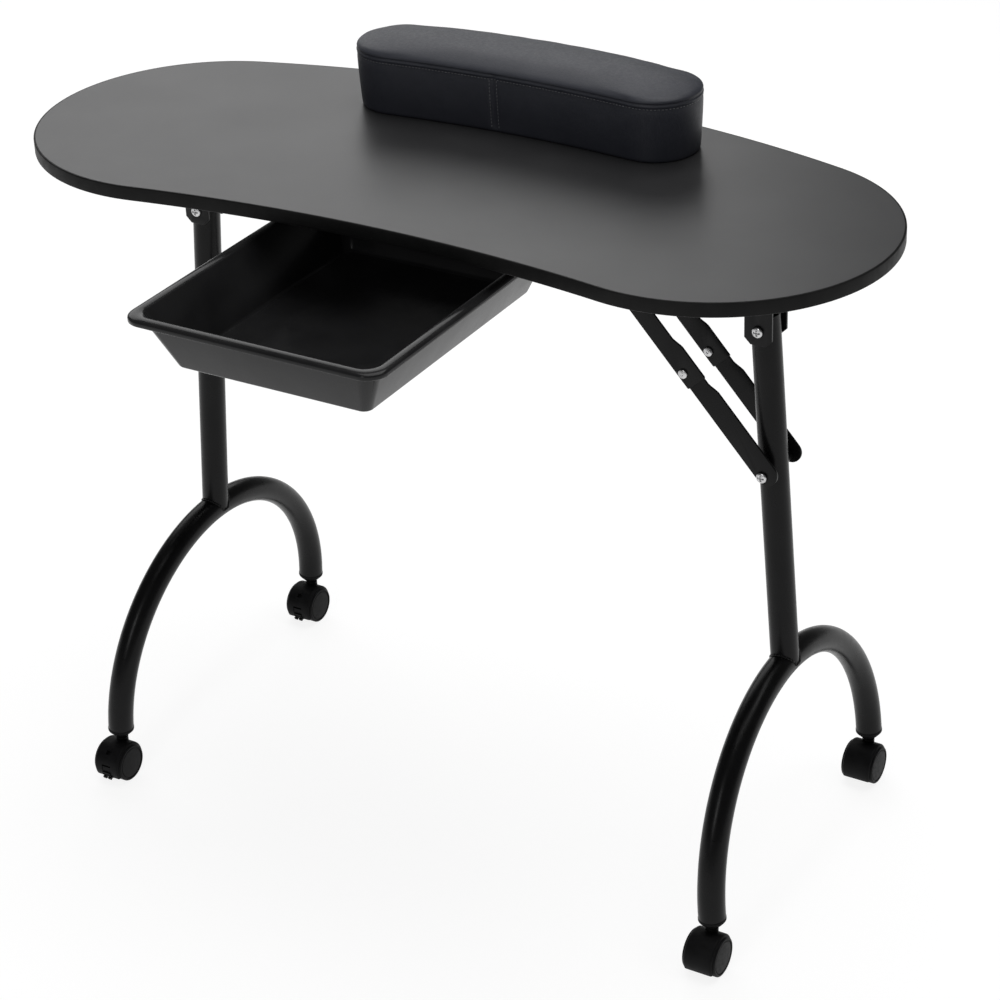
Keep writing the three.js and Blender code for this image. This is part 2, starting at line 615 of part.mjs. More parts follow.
// A cylinder about the wheel axle, spread evenly to both sides of X = 0.
function axleCylinder(radius, halfLength, segments) {
  return new THREE.CylinderGeometry(radius, radius, 2 * halfLength, segments)
    .rotateZ(Math.PI / 2).translate(0, AXLE_Y, WHEEL_RADIUS);
}

function casterHood(braked) {
  const skin = slabYZ(hoodSector(HOOD_RADIUS, HOOD_FRONT_ANGLE, HOOD_BACK_ANGLE), HOOD_HALF_WIDTH);
  const hollow = slabYZ(
    hoodSector(HOOD_RADIUS - HOOD_WALL, HOOD_FRONT_ANGLE - HOOD_OVERRUN, HOOD_BACK_ANGLE + HOOD_OVERRUN),
    HOOD_HALF_WIDTH + 1);
  const web = slabYZ(
    hoodSector(HOOD_RADIUS - 0.5, HOOD_FRONT_ANGLE, HOOD_BACK_ANGLE), HOOD_WEB_HALF_WIDTH);
  const hub = axleCylinder(HOOD_HUB_RADIUS, HOOD_WEB_HALF_WIDTH, STEM_SIDES);
  const stemHole = STEM_RADIUS + HOLE_GAP;
  const boss = cylinderZ(stemHole + HOOD_BOSS_WALL, HOOD_BOSS_LENGTH,
    0, 0, HOOD_BOSS_TOP - HOOD_BOSS_LENGTH / 2, STEM_SIDES);
  const hood = join(cut(skin, hollow), web, hub, boss);
  const axleBore = axleCylinder(AXLE_RADIUS + HOLE_GAP, HOOD_HALF_WIDTH, BOLT_SIDES);
  const boreFoot = STEM_FOOT - TOUCH_GAP;
  const boreLength = HOOD_BOSS_TOP + 1 - boreFoot;
  const stemBore = cylinderZ(stemHole, boreLength, 0, 0, boreFoot + boreLength / 2, STEM_SIDES);
  const cuts = [axleBore, stemBore];
  if (braked) {
    const pocket = flapOutline(LEVER_INNER_RADIUS - HOLE_GAP, HOOD_RADIUS + HOOD_WALL,
      LEVER_TOP_ANGLE - LEVER_SWING_ROOM, LEVER_FOOT_ANGLE + LEVER_FOOT_ROOM);
    cuts.push(slabYZ(pocket, LEVER_HALF_WIDTH + HOLE_GAP));
  }
  return cut(hood, ...cuts);
}

// Side outline of a curved flap about the axle, between two radii and two angles in degrees.
function flapOutline(inner, outer, fromDegrees, toDegrees) {
  const from = THREE.MathUtils.degToRad(fromDegrees);
  const to = THREE.MathUtils.degToRad(toDegrees);
  const shape = new THREE.Shape();
  shape.absarc(AXLE_Y, WHEEL_RADIUS, outer, from, to, false);
  shape.absarc(AXLE_Y, WHEEL_RADIUS, inner, to, from, true);
  shape.closePath();
  return shape;
}

function brakeLever() {
  const outline = flapOutline(
    LEVER_INNER_RADIUS, HOOD_RADIUS - LAYER_GAP, LEVER_TOP_ANGLE, LEVER_FOOT_ANGLE);
  const flap = slabYZ(outline, LEVER_HALF_WIDTH, 4);
  const angle = THREE.MathUtils.degToRad(LEVER_FOOT_ANGLE - LEVER_LIP.fromFoot);
  const lipRadius = HOOD_RADIUS + LAYER_GAP;
  const lip = new THREE.BoxGeometry(2 * LEVER_HALF_WIDTH, LEVER_LIP.length, LEVER_LIP.thickness);
  lip.rotateX(angle);
  lip.translate(0, AXLE_Y + lipRadius * Math.cos(angle), WHEEL_RADIUS + lipRadius * Math.sin(angle));
  return join(flap, lip);
}

function casterWheel(sign) {
  const width = WHEEL_OUTER_X - WHEEL_INNER_X;
  const bore = AXLE_RADIUS + HOLE_GAP / 2;
  const wheel = latheZ([
    [0, width - WHEEL_CAP], [bore, width - WHEEL_CAP], [bore, 0], [WHEEL_RADIUS - 1, 0], [WHEEL_RADIUS, 1],
    [WHEEL_RADIUS, width - WHEEL_EDGE], [WHEEL_RADIUS - WHEEL_EDGE, width], [0, width],
  ], WHEEL_SIDES);
  wheel.rotateY(sign * Math.PI / 2);
  return wheel.translate(sign * WHEEL_INNER_X, AXLE_Y, WHEEL_RADIUS);
}

function casterStem() {
  return latheZ([
    [0, STEM_FOOT], [STEM_RADIUS, STEM_FOOT], [STEM_RADIUS, HOOD_BOSS_TOP + TOUCH_GAP],
    [STEM_COLLAR_RADIUS, HOOD_BOSS_TOP + TOUCH_GAP], [STEM_COLLAR_RADIUS, STEM_COLLAR_TOP],
    [STEM_RADIUS, STEM_COLLAR_TOP], [STEM_RADIUS, STEM_TOP - 1], [STEM_RADIUS - 1, STEM_TOP], [0, STEM_TOP],
  ], STEM_SIDES);
}

function caster(corner, x, y, braked) {
  const group = new THREE.Group();
  group.position.set(x, y, 0);
  const axle = axleCylinder(AXLE_RADIUS, WHEEL_OUTER_X - AXLE_SHORT, BOLT_SIDES);
  group.add(
    piece(`caster_stem_${corner}`, casterStem(), ZINC),
    piece(`caster_hood_${corner}`, casterHood(braked), BLACK_NYLON),
    piece(`caster_axle_${corner}`, axle, ZINC),
    piece(`caster_wheel_${corner}_left`, casterWheel(-1), BLACK_NYLON),
    piece(`caster_wheel_${corner}_right`, casterWheel(1), BLACK_NYLON),
  );
  if (braked) group.add(piece(`brake_lever_${corner}`, brakeLever(), BLACK_NYLON));
  return group;
}

// ---- Assembly -----------------------------------------------------------------------------
const table = new THREE.Group();
table.position.y = -ORIGIN_Y;
table.add(...tableTop(), ...wristCushion());
table.add(pulledOutTray(), trayRail('left'), trayRail('right'));
table.add(leg('right', [{ name: 'front', sign: -1 }, { name: 'rear', sign: 1 }]));
table.add(leg('left', [{ name: 'front', sign: 1 }, { name: 'rear', sign: -1 }]));
for (const [depth, y] of [['front', -FOOT_Y], ['rear', FOOT_Y]]) {
  table.add(caster(`left_${depth}`, -FOOT_X, y, true));
  table.add(caster(`right_${depth}`, FOOT_X, y, false));
}

export default table;
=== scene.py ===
import json
import math

import bmesh
import bpy
from mathutils import Matrix, Vector


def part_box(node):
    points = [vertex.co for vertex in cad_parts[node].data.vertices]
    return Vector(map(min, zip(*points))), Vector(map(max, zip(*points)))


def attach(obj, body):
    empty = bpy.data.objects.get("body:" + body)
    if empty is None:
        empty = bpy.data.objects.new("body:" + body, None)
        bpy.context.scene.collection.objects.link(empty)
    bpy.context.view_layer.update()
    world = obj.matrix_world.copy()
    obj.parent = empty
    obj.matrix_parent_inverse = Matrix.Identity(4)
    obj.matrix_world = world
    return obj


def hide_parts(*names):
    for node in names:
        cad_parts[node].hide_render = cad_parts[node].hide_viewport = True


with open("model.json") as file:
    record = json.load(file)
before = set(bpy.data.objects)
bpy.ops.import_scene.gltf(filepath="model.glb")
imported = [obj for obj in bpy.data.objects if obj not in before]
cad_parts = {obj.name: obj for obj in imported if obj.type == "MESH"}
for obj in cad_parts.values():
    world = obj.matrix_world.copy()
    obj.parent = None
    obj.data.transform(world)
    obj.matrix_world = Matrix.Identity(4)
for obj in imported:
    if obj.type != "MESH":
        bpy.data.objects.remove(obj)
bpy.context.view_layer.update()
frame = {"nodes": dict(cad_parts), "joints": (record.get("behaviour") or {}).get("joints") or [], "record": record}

MM = 0.001
JOINT_PLACE = {j["name"]: Vector(j["pos_m"]) for j in frame["joints"] if "pos_m" in j}
SIDES = {"left": -1, "right": 1}
DEPTHS = {"front": -1, "rear": 1}

# ---- Driving sizes, in metres ----
TOP_END_RADIUS = 170.6 * MM     # round ends of the bean-shaped top
BAND_THICKNESS = 2 * MM
BAND_CORNER = 1.2 * MM
BAND_JOINT = 0.05 * MM          # hairline between the board and its band
CUSHION_END_RADIUS = 45 * MM
FOOT_HEIGHT = 56.5 * MM           # floor to the cut end of the arched tube
ARCH_STRAIGHT = 0.5 * MM
POST_RADIUS = 14 * MM
ARCH_RADIUS = 13.5 * MM
TUBE_WALL = 1.5 * MM
POST_ABOVE_PIVOT = 13 * MM
WELD_RADIUS = 1.1 * MM
STRAP = 2.5 * MM                # thickness of brackets and brace links
LAYER_GAP = 0.4 * MM
EAR_LAYER = POST_RADIUS + LAYER_GAP
SPACER = 9 * MM                 # boss that holds the nearer link off the post
SPACER_RADIUS = 7 * MM
INNER_LAYER = POST_RADIUS + SPACER + LAYER_GAP
OUTER_LAYER = INNER_LAYER + STRAP + LAYER_GAP
LOWER_LINK = 122 * MM
LINK_EDGE = 6.2 * MM            # link pivots to the straight edge
LINK_WIDTH = 23 * MM
LINK_NECK = 19.5 * MM
LINK_SHOULDER = 9 * MM
UPPER_SHOULDER = 31 * MM        # elbow rivet to the upper link's shoulder
UPPER_TAIL = 15 * MM
LOWER_SHOULDER = 32 * MM
LOWER_TAIL = 9 * MM
BOLT_RADIUS = 3.5 * MM
BOLT_HEAD_RADIUS = 5.4 * MM
BOLT_HEAD = 3 * MM
SCREW_RADIUS = 3.4 * MM
SCREW_HEAD = 1.8 * MM
SCREW_EDGE = 6 * MM             # screw to the end of a bracket's plate
RAIL_WALL = 2 * MM
RAIL_FLANGE = 10 * MM
WHEEL_RADIUS = 20 * MM
WHEEL_INNER_X = 8 * MM
WHEEL_OUTER_X = 17.8 * MM
CASTER_TRAIL = 10 * MM
HOOD_RADIUS = 22.6 * MM
HOOD_WALL = 1.7 * MM
HOOD_HALF_WIDTH = 15.4 * MM
HOOD_WEB = 7.5 * MM


# ---- Mesh making ----
def finished_mesh(name, points, faces, sharp_angle=40):
    """A smooth-shaded mesh with its faces turned outwards and its real edges kept sharp."""
    shape = bmesh.new()
    corners = [shape.verts.new(p) for p in points]
    for face in faces:
        shape.faces.new([corners[i] for i in face])
    bmesh.ops.remove_doubles(shape, verts=shape.verts, dist=1e-6)
    bmesh.ops.recalc_face_normals(shape, faces=shape.faces)
    return mesh_of(name, shape, sharp_angle)


def mesh_of(name, shape, sharp_angle):
    mesh = bpy.data.meshes.new(name)
    shape.to_mesh(mesh)
    shape.free()
    mesh.shade_smooth()
    mesh.set_sharp_from_angle(angle=math.radians(sharp_angle))
    return mesh


def loft(rings, closed=False, capped=True):
    """Points and faces of equally long rings joined in order."""
    count = len(rings[0])
    points = [p for ring in rings for p in ring]
    faces = []
    for i in range(len(rings) if closed else len(rings) - 1):
        low = i * count
        high = (i + 1) % len(rings) * count
        for k in range(count):
            after = (k + 1) % count
            faces.append((low + k, low + after, high + after, high + k))
    if capped and not closed:
        faces.append(tuple(reversed(range(count))))
        faces.append(tuple(range(len(points) - count, len(points))))
    return points, faces


def lathe(profile, segments):
    """Points and faces of (radius, height) pairs turned about Z. A radius of 0 makes a closed pole."""
    points, faces, rings = [], [], []
    for radius, height in profile:
        if radius == 0:
            rings.append([len(points)] * segments)
            points.append((0, 0, height))
            continue
        rings.append(list(range(len(points), len(points) + segments)))
        for k in range(segments):
            angle = math.tau * k / segments
            points.append((radius * math.cos(angle), radius * math.sin(angle), height))
    for low, high in zip(rings, rings[1:]):
        for k in range(segments):
            after = (k + 1) % segments
            corners = (low[k], low[after], high[after], high[k])
            faces.append(tuple(dict.fromkeys(corners)))
    return points, faces


def arc(centre, radius, start, end, steps):
    """Points on an arc in a plane, angles in degrees."""
    found = []
    for k in range(steps + 1):
        angle = math.radians(start + (end - start) * k / steps)
        found.append((centre[0] + radius * math.cos(angle), centre[1] + radius * math.sin(angle)))
    return found


def ring_about(centre, across, up, sides):
    """A ring of points round a centre, with its two half axes given as vectors."""
    angles = (math.tau * k / sides for k in range(sides))
    return [tuple(centre + across * math.cos(t) + up * math.sin(t)) for t in angles]


def joined(*parts):
    """Several (points, faces) as one."""
    points, faces = [], []
    for more_points, more_faces in parts:
        start = len(points)
        points += [tuple(p) for p in more_points]
        faces += [tuple(start + i for i in face) for face in more_faces]
    return points, faces


def moved(part, matrix):
    points, faces = part
    return [tuple(matrix @ Vector(p)) for p in points], faces


def plate(loops, thickness, bevel):
    """A flat plate about the XY plane: the first loop is its outline, the others are holes."""
    shape = bmesh.new()
    rim = []
    for loop in loops:
        corners = [shape.verts.new((x, y, -thickness / 2)) for x, y in loop]
        rim += [shape.edges.new((a, b)) for a, b in zip(corners, corners[1:] + corners[:1])]
    bmesh.ops.triangle_fill(shape, edges=rim, use_beauty=True, use_dissolve=False)
    bottom = list(shape.faces)
    grown = bmesh.ops.extrude_face_region(shape, geom=bottom, use_keep_orig=True)
    raised = [g for g in grown["geom"] if isinstance(g, bmesh.types.BMVert)]
    bmesh.ops.translate(shape, verts=raised, vec=(0, 0, thickness))
    bmesh.ops.recalc_face_normals(shape, faces=shape.faces)
    sharp = [e for e in shape.edges if len(e.link_faces) == 2 and e.calc_face_angle(0) > 1.2]
    bmesh.ops.bevel(shape, geom=sharp, offset=bevel, segments=2, profile=0.6, affect="EDGES")
    points = [tuple(v.co) for v in shape.verts]
    faces = [tuple(v.index for v in f.verts) for f in shape.faces]
    shape.free()
    return points, faces


def linked(name, data):
    """A new object in the scene."""
    thing = bpy.data.objects.new(name, data)
    bpy.context.scene.collection.objects.link(thing)
    return thing


def evaluated(piece):
    """A new mesh of the shape that a piece's modifiers give it."""
    return bpy.data.meshes.new_from_object(piece.evaluated_get(bpy.context.evaluated_depsgraph_get()))


def combined(base, others, operation):
    """The union or difference of closed bodies, each given as (points, faces)."""
    whole = linked("whole", finished_mesh("whole", *base))
    tools = []
    for k, part in enumerate(others):
        tool = linked(f"tool_{k}", finished_mesh("tool", *part))
        step = whole.modifiers.new(f"step_{k}", "BOOLEAN")
        step.operation = operation
        step.solver = "EXACT"
        step.object = tool
        tools.append(tool)
    result = evaluated(whole)
    points = [tuple(v.co) for v in result.vertices]
    faces = [tuple(f.vertices) for f in result.polygons]
    for extra in [whole, *tools]:
        bpy.data.objects.remove(extra)
    return points, faces


def add_piece(name, mesh, material, body, replaces=(), matrix=Matrix()):
    """A piece that rides a body, standing for the CAD nodes that it replaces."""
    piece = linked(name, mesh)
    if not mesh.materials:
        mesh.materials.append(material)
    piece.matrix_world = matrix
    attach(piece, body)
    if replaces:
        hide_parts(*replaces)
    return piece


def turned_to(axis):
    """A turn that takes +Z to the given axis."""
    return Vector(axis).to_track_quat("Z", "Y").to_matrix().to_4x4()


# ---- Materials ----
NOISE_SPAN = (0.3, 0.7)         # where nearly all of a noise's values lie


class Surface:
    """A procedural material built up from noise at real scales; lengths are in metres."""

    def __init__(self, name, metallic=0.0, specular=0.5, ior=1.5):
        self.material = bpy.data.materials.new(name)
        self.material.use_nodes = True
        self.tree = self.material.node_tree
        self.bsdf = self.tree.nodes["Principled BSDF"]
        self.bsdf.inputs["Metallic"].default_value = metallic
        self.bsdf.inputs["Specular IOR Level"].default_value = specular
        self.bsdf.inputs["IOR"].default_value = ior
        self.place = self.tree.nodes.new("ShaderNodeTexCoord").outputs["Object"]

    def node(self, kind, feed, source, **settings):
        """A node with its inputs set, and the input named feed linked to a source."""
        node = self.tree.nodes.new(f"ShaderNode{kind}")
        for name, value in settings.items():
            node.inputs[name.replace("_", " ")].default_value = value
        self.tree.links.new(source, node.inputs[feed])
        return node

    def stretched(self, x, y, z):
        return self.node("Mapping", "Vector", self.place, Scale=(x, y, z)).outputs["Vector"]

    def noise(self, size, detail=3, roughness=0.5, place=None):
        node = self.node("TexNoise", "Vector", place or self.place, Scale=1 / size, Detail=detail,
                         Roughness=roughness)
        return node.outputs["Fac"]

    def cells(self, size):
        node = self.node("TexVoronoi", "Vector", self.place, Scale=1 / size)
        node.feature = "SMOOTH_F1"
        return node.outputs["Distance"]

    def colour(self, value, dark, light):
        node = self.node("ValToRGB", "Fac", value)
        for element, position, shade in zip(node.color_ramp.elements, NOISE_SPAN, (dark, light)):
            element.position = position
            element.color = (*shade, 1)
        self.tree.links.new(node.outputs["Color"], self.bsdf.inputs["Base Color"])

    def rough(self, value, low, high):
        node = self.node("MapRange", "Value", value, From_Min=NOISE_SPAN[0], From_Max=NOISE_SPAN[1],
                         To_Min=low, To_Max=high)
        self.tree.links.new(node.outputs["Result"], self.bsdf.inputs["Roughness"])

    def relief(self, value, depth):
        node = self.node("Bump", "Height", value, Strength=1.0, Distance=depth)
        if self.bsdf.inputs["Normal"].is_linked:
            before = self.bsdf.inputs["Normal"].links[0].from_socket
            self.tree.links.new(before, node.inputs["Normal"])
        self.tree.links.new(node.outputs["Normal"], self.bsdf.inputs["Normal"])


def laminate():
    """Matt black laminate with a fine pebbled texture."""
    s = Surface("laminate_top")
    s.colour(s.noise(60 * MM, 4, 0.6), (0.018, 0.018, 0.019), (0.023, 0.023, 0.024))
    s.rough(s.noise(90 * MM, 4, 0.55), 0.365, 0.39)
    s.relief(s.noise(1.1 * MM, 3, 0.6), 0.035 * MM)
    return s.material


def edge_plastic():
    """Matt black plastic with a faint grain."""
    s = Surface("edge_band", specular=0.1)
    s.colour(s.noise(20 * MM, 3), (0.006, 0.006, 0.006), (0.009, 0.009, 0.009))
    s.rough(s.noise(8 * MM, 4), 0.42, 0.52)
    s.relief(s.noise(0.7 * MM, 2), 0.02 * MM)
    return s.material


def leather():
    """Black synthetic leather: a pebbled grain of rounded cells with fine creases between."""
    s = Surface("cushion_leather", specular=0.45)
    s.colour(s.noise(30 * MM, 5, 0.6), (0.020, 0.022, 0.031), (0.027, 0.029, 0.039))
    s.rough(s.noise(3 * MM, 4, 0.7), 0.44, 0.58)
    s.relief(s.cells(0.9 * MM), 0.10 * MM)
    s.relief(s.noise(0.35 * MM, 3, 0.6), 0.03 * MM)
    return s.material


def thread():
    """Dark grey sewing thread with fine ridges."""
    s = Surface("stitch_thread", specular=0.3)
    s.colour(s.noise(0.4 * MM, 2), (0.10, 0.102, 0.11), (0.20, 0.205, 0.215))
    s.rough(s.noise(0.5 * MM, 2), 0.5, 0.7)
    s.relief(s.noise(0.25 * MM, 2, place=s.stretched(1, 1, 3)), 0.08 * MM)
    return s.material


def hardboard():
    """Brown pressed fibre board."""
    s = Surface("hardboard")
    s.colour(s.noise(2 * MM, 5, 0.7), (0.07, 0.042, 0.022), (0.16, 0.10, 0.055))
    s.rough(s.noise(5 * MM, 3), 0.75, 0.92)
    s.relief(s.noise(0.8 * MM, 4, 0.7), 0.15 * MM)
    return s.material


def glossy_plastic():
    """Thermoformed glossy black plastic: slow waves, a faint haze and fine scratches."""
    s = Surface("tray_plastic", specular=0.4, ior=1.3)
    s.colour(s.noise(50 * MM, 3), (0.011, 0.011, 0.0115), (0.016, 0.016, 0.0165))
    s.rough(s.noise(25 * MM, 6, 0.7), 0.13, 0.24)
    s.relief(s.noise(40 * MM, 2), 0.25 * MM)
    s.relief(s.noise(1.5 * MM, 2, place=s.stretched(1, 14, 14)), 0.004 * MM)
    return s.material


def rail_plastic():
    """Extruded black plastic, streaked along the rails."""
    s = Surface("rail_plastic", specular=0.2)
    s.colour(s.noise(15 * MM, 3), (0.008, 0.008, 0.008), (0.013, 0.013, 0.013))
    s.rough(s.noise(6 * MM, 4, place=s.stretched(1, 0.15, 1)), 0.38, 0.55)
    s.relief(s.noise(0.8 * MM, 2, place=s.stretched(1, 0.1, 1)), 0.02 * MM)
    return s.material


def powder_coat():
    """Black powder coat with its orange-peel surface."""
    s = Surface("painted_frame", specular=0.3, ior=1.33)
    s.colour(s.noise(25 * MM, 4), (0.003, 0.003, 0.0032), (0.005, 0.005, 0.0053))
    s.rough(s.noise(9 * MM, 4, 0.6), 0.26, 0.34)
    s.relief(s.noise(1.6 * MM, 2, 0.4), 0.035 * MM)
    s.relief(s.noise(0.4 * MM, 1), 0.006 * MM)
    return s.material


def nylon():
    """Moulded black nylon with a spark-eroded texture."""
    s = Surface("black_nylon", specular=0.25, ior=1.25)
    s.colour(s.noise(10 * MM, 4), (0.005, 0.005, 0.0053), (0.008, 0.008, 0.0085))
    s.rough(s.noise(5 * MM, 4, 0.6), 0.40, 0.56)
    s.relief(s.noise(0.45 * MM, 3, 0.6), 0.03 * MM)
    return s.material


def zinc():
    """Bright zinc plate, slightly cloudy."""
    s = Surface("zinc_steel", metallic=1.0)
    s.colour(s.noise(4 * MM, 4, 0.6), (0.44, 0.44, 0.45), (0.66, 0.66, 0.66))
    s.rough(s.noise(1.5 * MM, 4, 0.6), 0.18, 0.34)
    s.relief(s.noise(0.6 * MM, 3), 0.02 * MM)
    return s.material


MATERIALS = {
    "laminate_top": laminate(),
    "edge_band": edge_plastic(),
    "cushion_leather": leather(),
    "hardboard": hardboard(),
    "tray_plastic": glossy_plastic(),
    "rail_plastic": rail_plastic(),
    "painted_frame": powder_coat(),
    "black_nylon": nylon(),
    "zinc_steel": zinc(),
}
THREAD = thread()
NODE_SLOT = {s["node"]: s["material_slot"] for s in frame["record"]["subparts"]}
for node_name, node in frame["nodes"].items():
    node.data.materials.clear()
    node.data.materials.append(MATERIALS[NODE_SLOT[node_name]])


def slot_piece(name, part, slot, body, replaces=(), matrix=Matrix(), sharp_angle=40):
    """A piece made from (points, faces), in the material of a record slot."""
    mesh = part if isinstance(part, bpy.types.Mesh) else finished_mesh(name, *part, sharp_angle)
    return add_piece(name, mesh, MATERIALS[slot], body, replaces, matrix)


def refined(node, body, bevel=0.5 * MM):
    """A copy of a CAD node with flat faces made whole and its edges rounded."""
    shape = bmesh.new()
    shape.from_mesh(frame["nodes"][node].data)
    bmesh.ops.remove_doubles(shape, verts=shape.verts, dist=1e-6)
    bmesh.ops.dissolve_limit(shape, angle_limit=math.radians(1), verts=shape.verts, edges=shape.edges)
    edges = [e for e in shape.edges if len(e.link_faces) == 2 and e.calc_face_angle(0) > 0.6]
    bmesh.ops.bevel(
        shape, geom=edges, offset=bevel, segments=2, profile=0.6, affect="EDGES", clamp_overlap=True)
    slot_piece(f"{node}_shape", mesh_of(node, shape, 30), NODE_SLOT[node], body, (node,))


# ---- Bean outlines ----
class Bean:
    """Two round ends joined by a bowed back edge and a hollow front edge, all arcs tangent."""

    def __init__(self, low, high, end_radius, front_y):
        self.centre_x = (low.x + high.x) / 2
        self.end_radius = end_radius
        self.end_x = (high.x - low.x) / 2 - end_radius
        self.end_y = low.y + end_radius
        rise = high.y - self.end_y
        drop = self.end_y - front_y
        span = self.end_x ** 2
        self.back_radius = (span + rise ** 2 - end_radius ** 2) / (2 * (rise - end_radius))
        self.front_radius = (span + drop ** 2 - end_radius ** 2) / (2 * (end_radius - drop))
        self.back_y = high.y - self.back_radius
        self.front_y = front_y - self.front_radius

    def ring(self, inset, z, end_steps=40, edge_steps=60):
        """Counter-clockwise from the right-hand tip, as many points on each side of the long axis."""
        back = math.atan2(self.end_x, self.end_y - self.back_y)
        front = math.atan2(self.end_x, self.end_y - self.front_y)
        quarter = math.pi / 2
        small = self.end_radius - inset
        spans = (
            (self.end_x, self.end_y, small, 0, quarter - back, end_steps),
            (0, self.back_y, self.back_radius - inset, quarter - back, quarter + back, edge_steps),
            (-self.end_x, self.end_y, small, quarter + back, 2 * quarter, end_steps),
            (-self.end_x, self.end_y, small, 2 * quarter, 3 * quarter + front, end_steps),
            (0, self.front_y, self.front_radius + inset, quarter + front, quarter - front, edge_steps),
            (self.end_x, self.end_y, small, -quarter - front, 0, end_steps),
        )
        ring = []
        for x, y, radius, start, end, steps in spans:
            for k in range(steps):
                angle = start + (end - start) * k / steps
                ring.append((
                    self.centre_x + x + radius * math.cos(angle), y + radius * math.sin(angle), z))
        return ring


def hollow_y(node):
    """How far forward a bean-shaped node reaches at the middle of its hollow edge."""
    low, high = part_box(node)
    middle = (low.x + high.x) / 2
    near = (high.x - low.x) / 8
    return min(
        (v.co.y for v in frame["nodes"][node].data.vertices if abs(v.co.x - middle) < near),
        default=low.y)


# ---- Top: board and edge band ----
def table_top():
    """The board, and round it the edge band with both of its corners rounded."""
    low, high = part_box("tabletop_edge_band")
    outline = Bean(low, high, TOP_END_RADIUS, hollow_y("tabletop_edge_band"))
    board_edge = BAND_THICKNESS + BAND_JOINT
    board = [outline.ring(board_edge, low.z), outline.ring(board_edge, high.z)]
    slot_piece("worktop_board", loft(board), "laminate_top", "tabletop", ("tabletop_board",))
    section = [(BAND_THICKNESS, low.z)]
    section += arc((BAND_CORNER, low.z + BAND_CORNER), BAND_CORNER, -90, -180, 4)
    section += arc((BAND_CORNER, high.z - BAND_CORNER), BAND_CORNER, 180, 90, 4)
    section.append((BAND_THICKNESS, high.z))
    band = [outline.ring(inset, z) for inset, z in section]
    slot_piece("worktop_edge_band", loft(band, closed=True), "edge_band", "tabletop",
               ("tabletop_edge_band",), sharp_angle=50)


# ---- Wrist cushion ----
CUSHION_END_STEPS = 14
CUSHION_EDGE_STEPS = 68
CUSHION_CAP = 3 * MM            # how far the padding may swell
CUSHION_RECESS = 3.4 * MM       # the base board's place in the underside
CUSHION_CROWN = 3.2 * MM
PANEL_CORNER = 6 * MM
SEAM_BELOW_TOP = 11 * MM
SEAM_RISE = 0.6 * MM            # from the seam to where the top panel starts
STITCH_BELOW_SEAM = 4.2 * MM
UPRIGHT_SEAM_X = -8 * MM
UPRIGHT_SEAM_DEPTH = 2.2 * MM
HELD = 0.95                     # how firmly stitches hold the cover down
STITCH_PITCH = 3.6 * MM
STITCH_LENGTH = 2.9 * MM
THREAD_RADIUS = 0.32 * MM


def cushion_rings(low, high):
    """(inset, height, pinned) from the middle of the underside out, up the side and in to the crown."""
    seam = high.z - SEAM_BELOW_TOP
    stitch = seam - STITCH_BELOW_SEAM
    foot = low.z + 1.2 * MM
    rows = [(inset * MM, low.z + CUSHION_RECESS, 1) for inset in (40, 28, 16, 5.6)]
    rows += [(5.6 * MM, low.z, 1), (4.2 * MM, low.z, 1), (3.0 * MM, foot, 1)]
    side_steps = 13
    for k in range(1, side_steps):
        share = k / side_steps
        rows.append((2.6 * MM * (1 - share) ** 1.5 + 0.3 * MM, foot + (stitch - foot) * share, 0))
    rows += [(0.9 * MM, stitch, HELD), (0.1 * MM, stitch + 1.4 * MM, 0.3)]
    rows += [(-0.2 * MM, seam - 1.3 * MM, 0.6), (1.6 * MM, seam, 1), (0.1 * MM, seam + 1.2 * MM, 0.6)]
    # The edge of the top panel is a quarter round; past it the crown rises gently to the middle.
    panel = seam + SEAM_RISE
    for inset, z in arc((PANEL_CORNER, panel), PANEL_CORNER, 155, 95, 5):
        rows.append((inset + 0.1 * MM, z, 0))
    for inset in (8, 11, 14.5, 18.5, 23, 28, 34, 40):
        swell = 1 - (1 - (inset - 6) / 34) ** 2
        rows.append((inset * MM, panel + PANEL_CORNER + CUSHION_CROWN * swell, 0))
    return rows


def cushion_mesh(outline, rows):
    """The cover before it swells, its ends closed by strips across, and the points in a ring."""
    rings = [
        outline.ring(inset, z, CUSHION_END_STEPS, CUSHION_EDGE_STEPS) for inset, z, _ in rows]
    points, faces = loft(rings, capped=False)
    count = len(rings[0])
    last = len(points) - count
    for start, turn in ((0, -1), (last, 1)):
        for k in range(count // 2):
            strip = [k, k + 1, (count - k - 1) % count, (count - k) % count]
            strip = [start + i for i in dict.fromkeys(strip)]
            if len(strip) > 2:
                faces.append(tuple(strip[::turn]))
    mesh = bpy.data.meshes.new("padded_cushion")
    mesh.from_pydata(points, [], faces)
    mesh.validate()
    return mesh, count


def inflate(piece, pins, cap):
    """Swells the padding by cloth simulation, with the pinned points held and the swell capped."""
    group = piece.vertex_groups.new(name="held")
    for index, weight in enumerate(pins):
        if weight > 0:
            group.add([index], weight, "REPLACE")
    before = [v.co.copy() for v in piece.data.vertices]
    cloth = piece.modifiers.new("padding", "CLOTH")
    cover = cloth.settings
    cover.quality = 6
    cover.mass = 0.2
    cover.tension_stiffness = 12
    cover.compression_stiffness = 12
    cover.bending_stiffness = 0.4
    cover.use_pressure = True
    cover.uniform_pressure_force = 2
    cover.vertex_group_mass = "held"
    cover.effector_weights.gravity = 0
    cloth.collision_settings.use_collision = False
    scene = bpy.context.scene
    for number in range(1, 21):
        scene.frame_set(number)
    swollen = evaluated(piece)
    piece.modifiers.remove(cloth)
    scene.frame_set(1)
    for vertex, start, grown in zip(piece.data.vertices, before, swollen.vertices):
        step = grown.co - start
        if step.length > cap:
            step *= cap / step.length
        vertex.co = start + step
    piece.vertex_groups.clear()


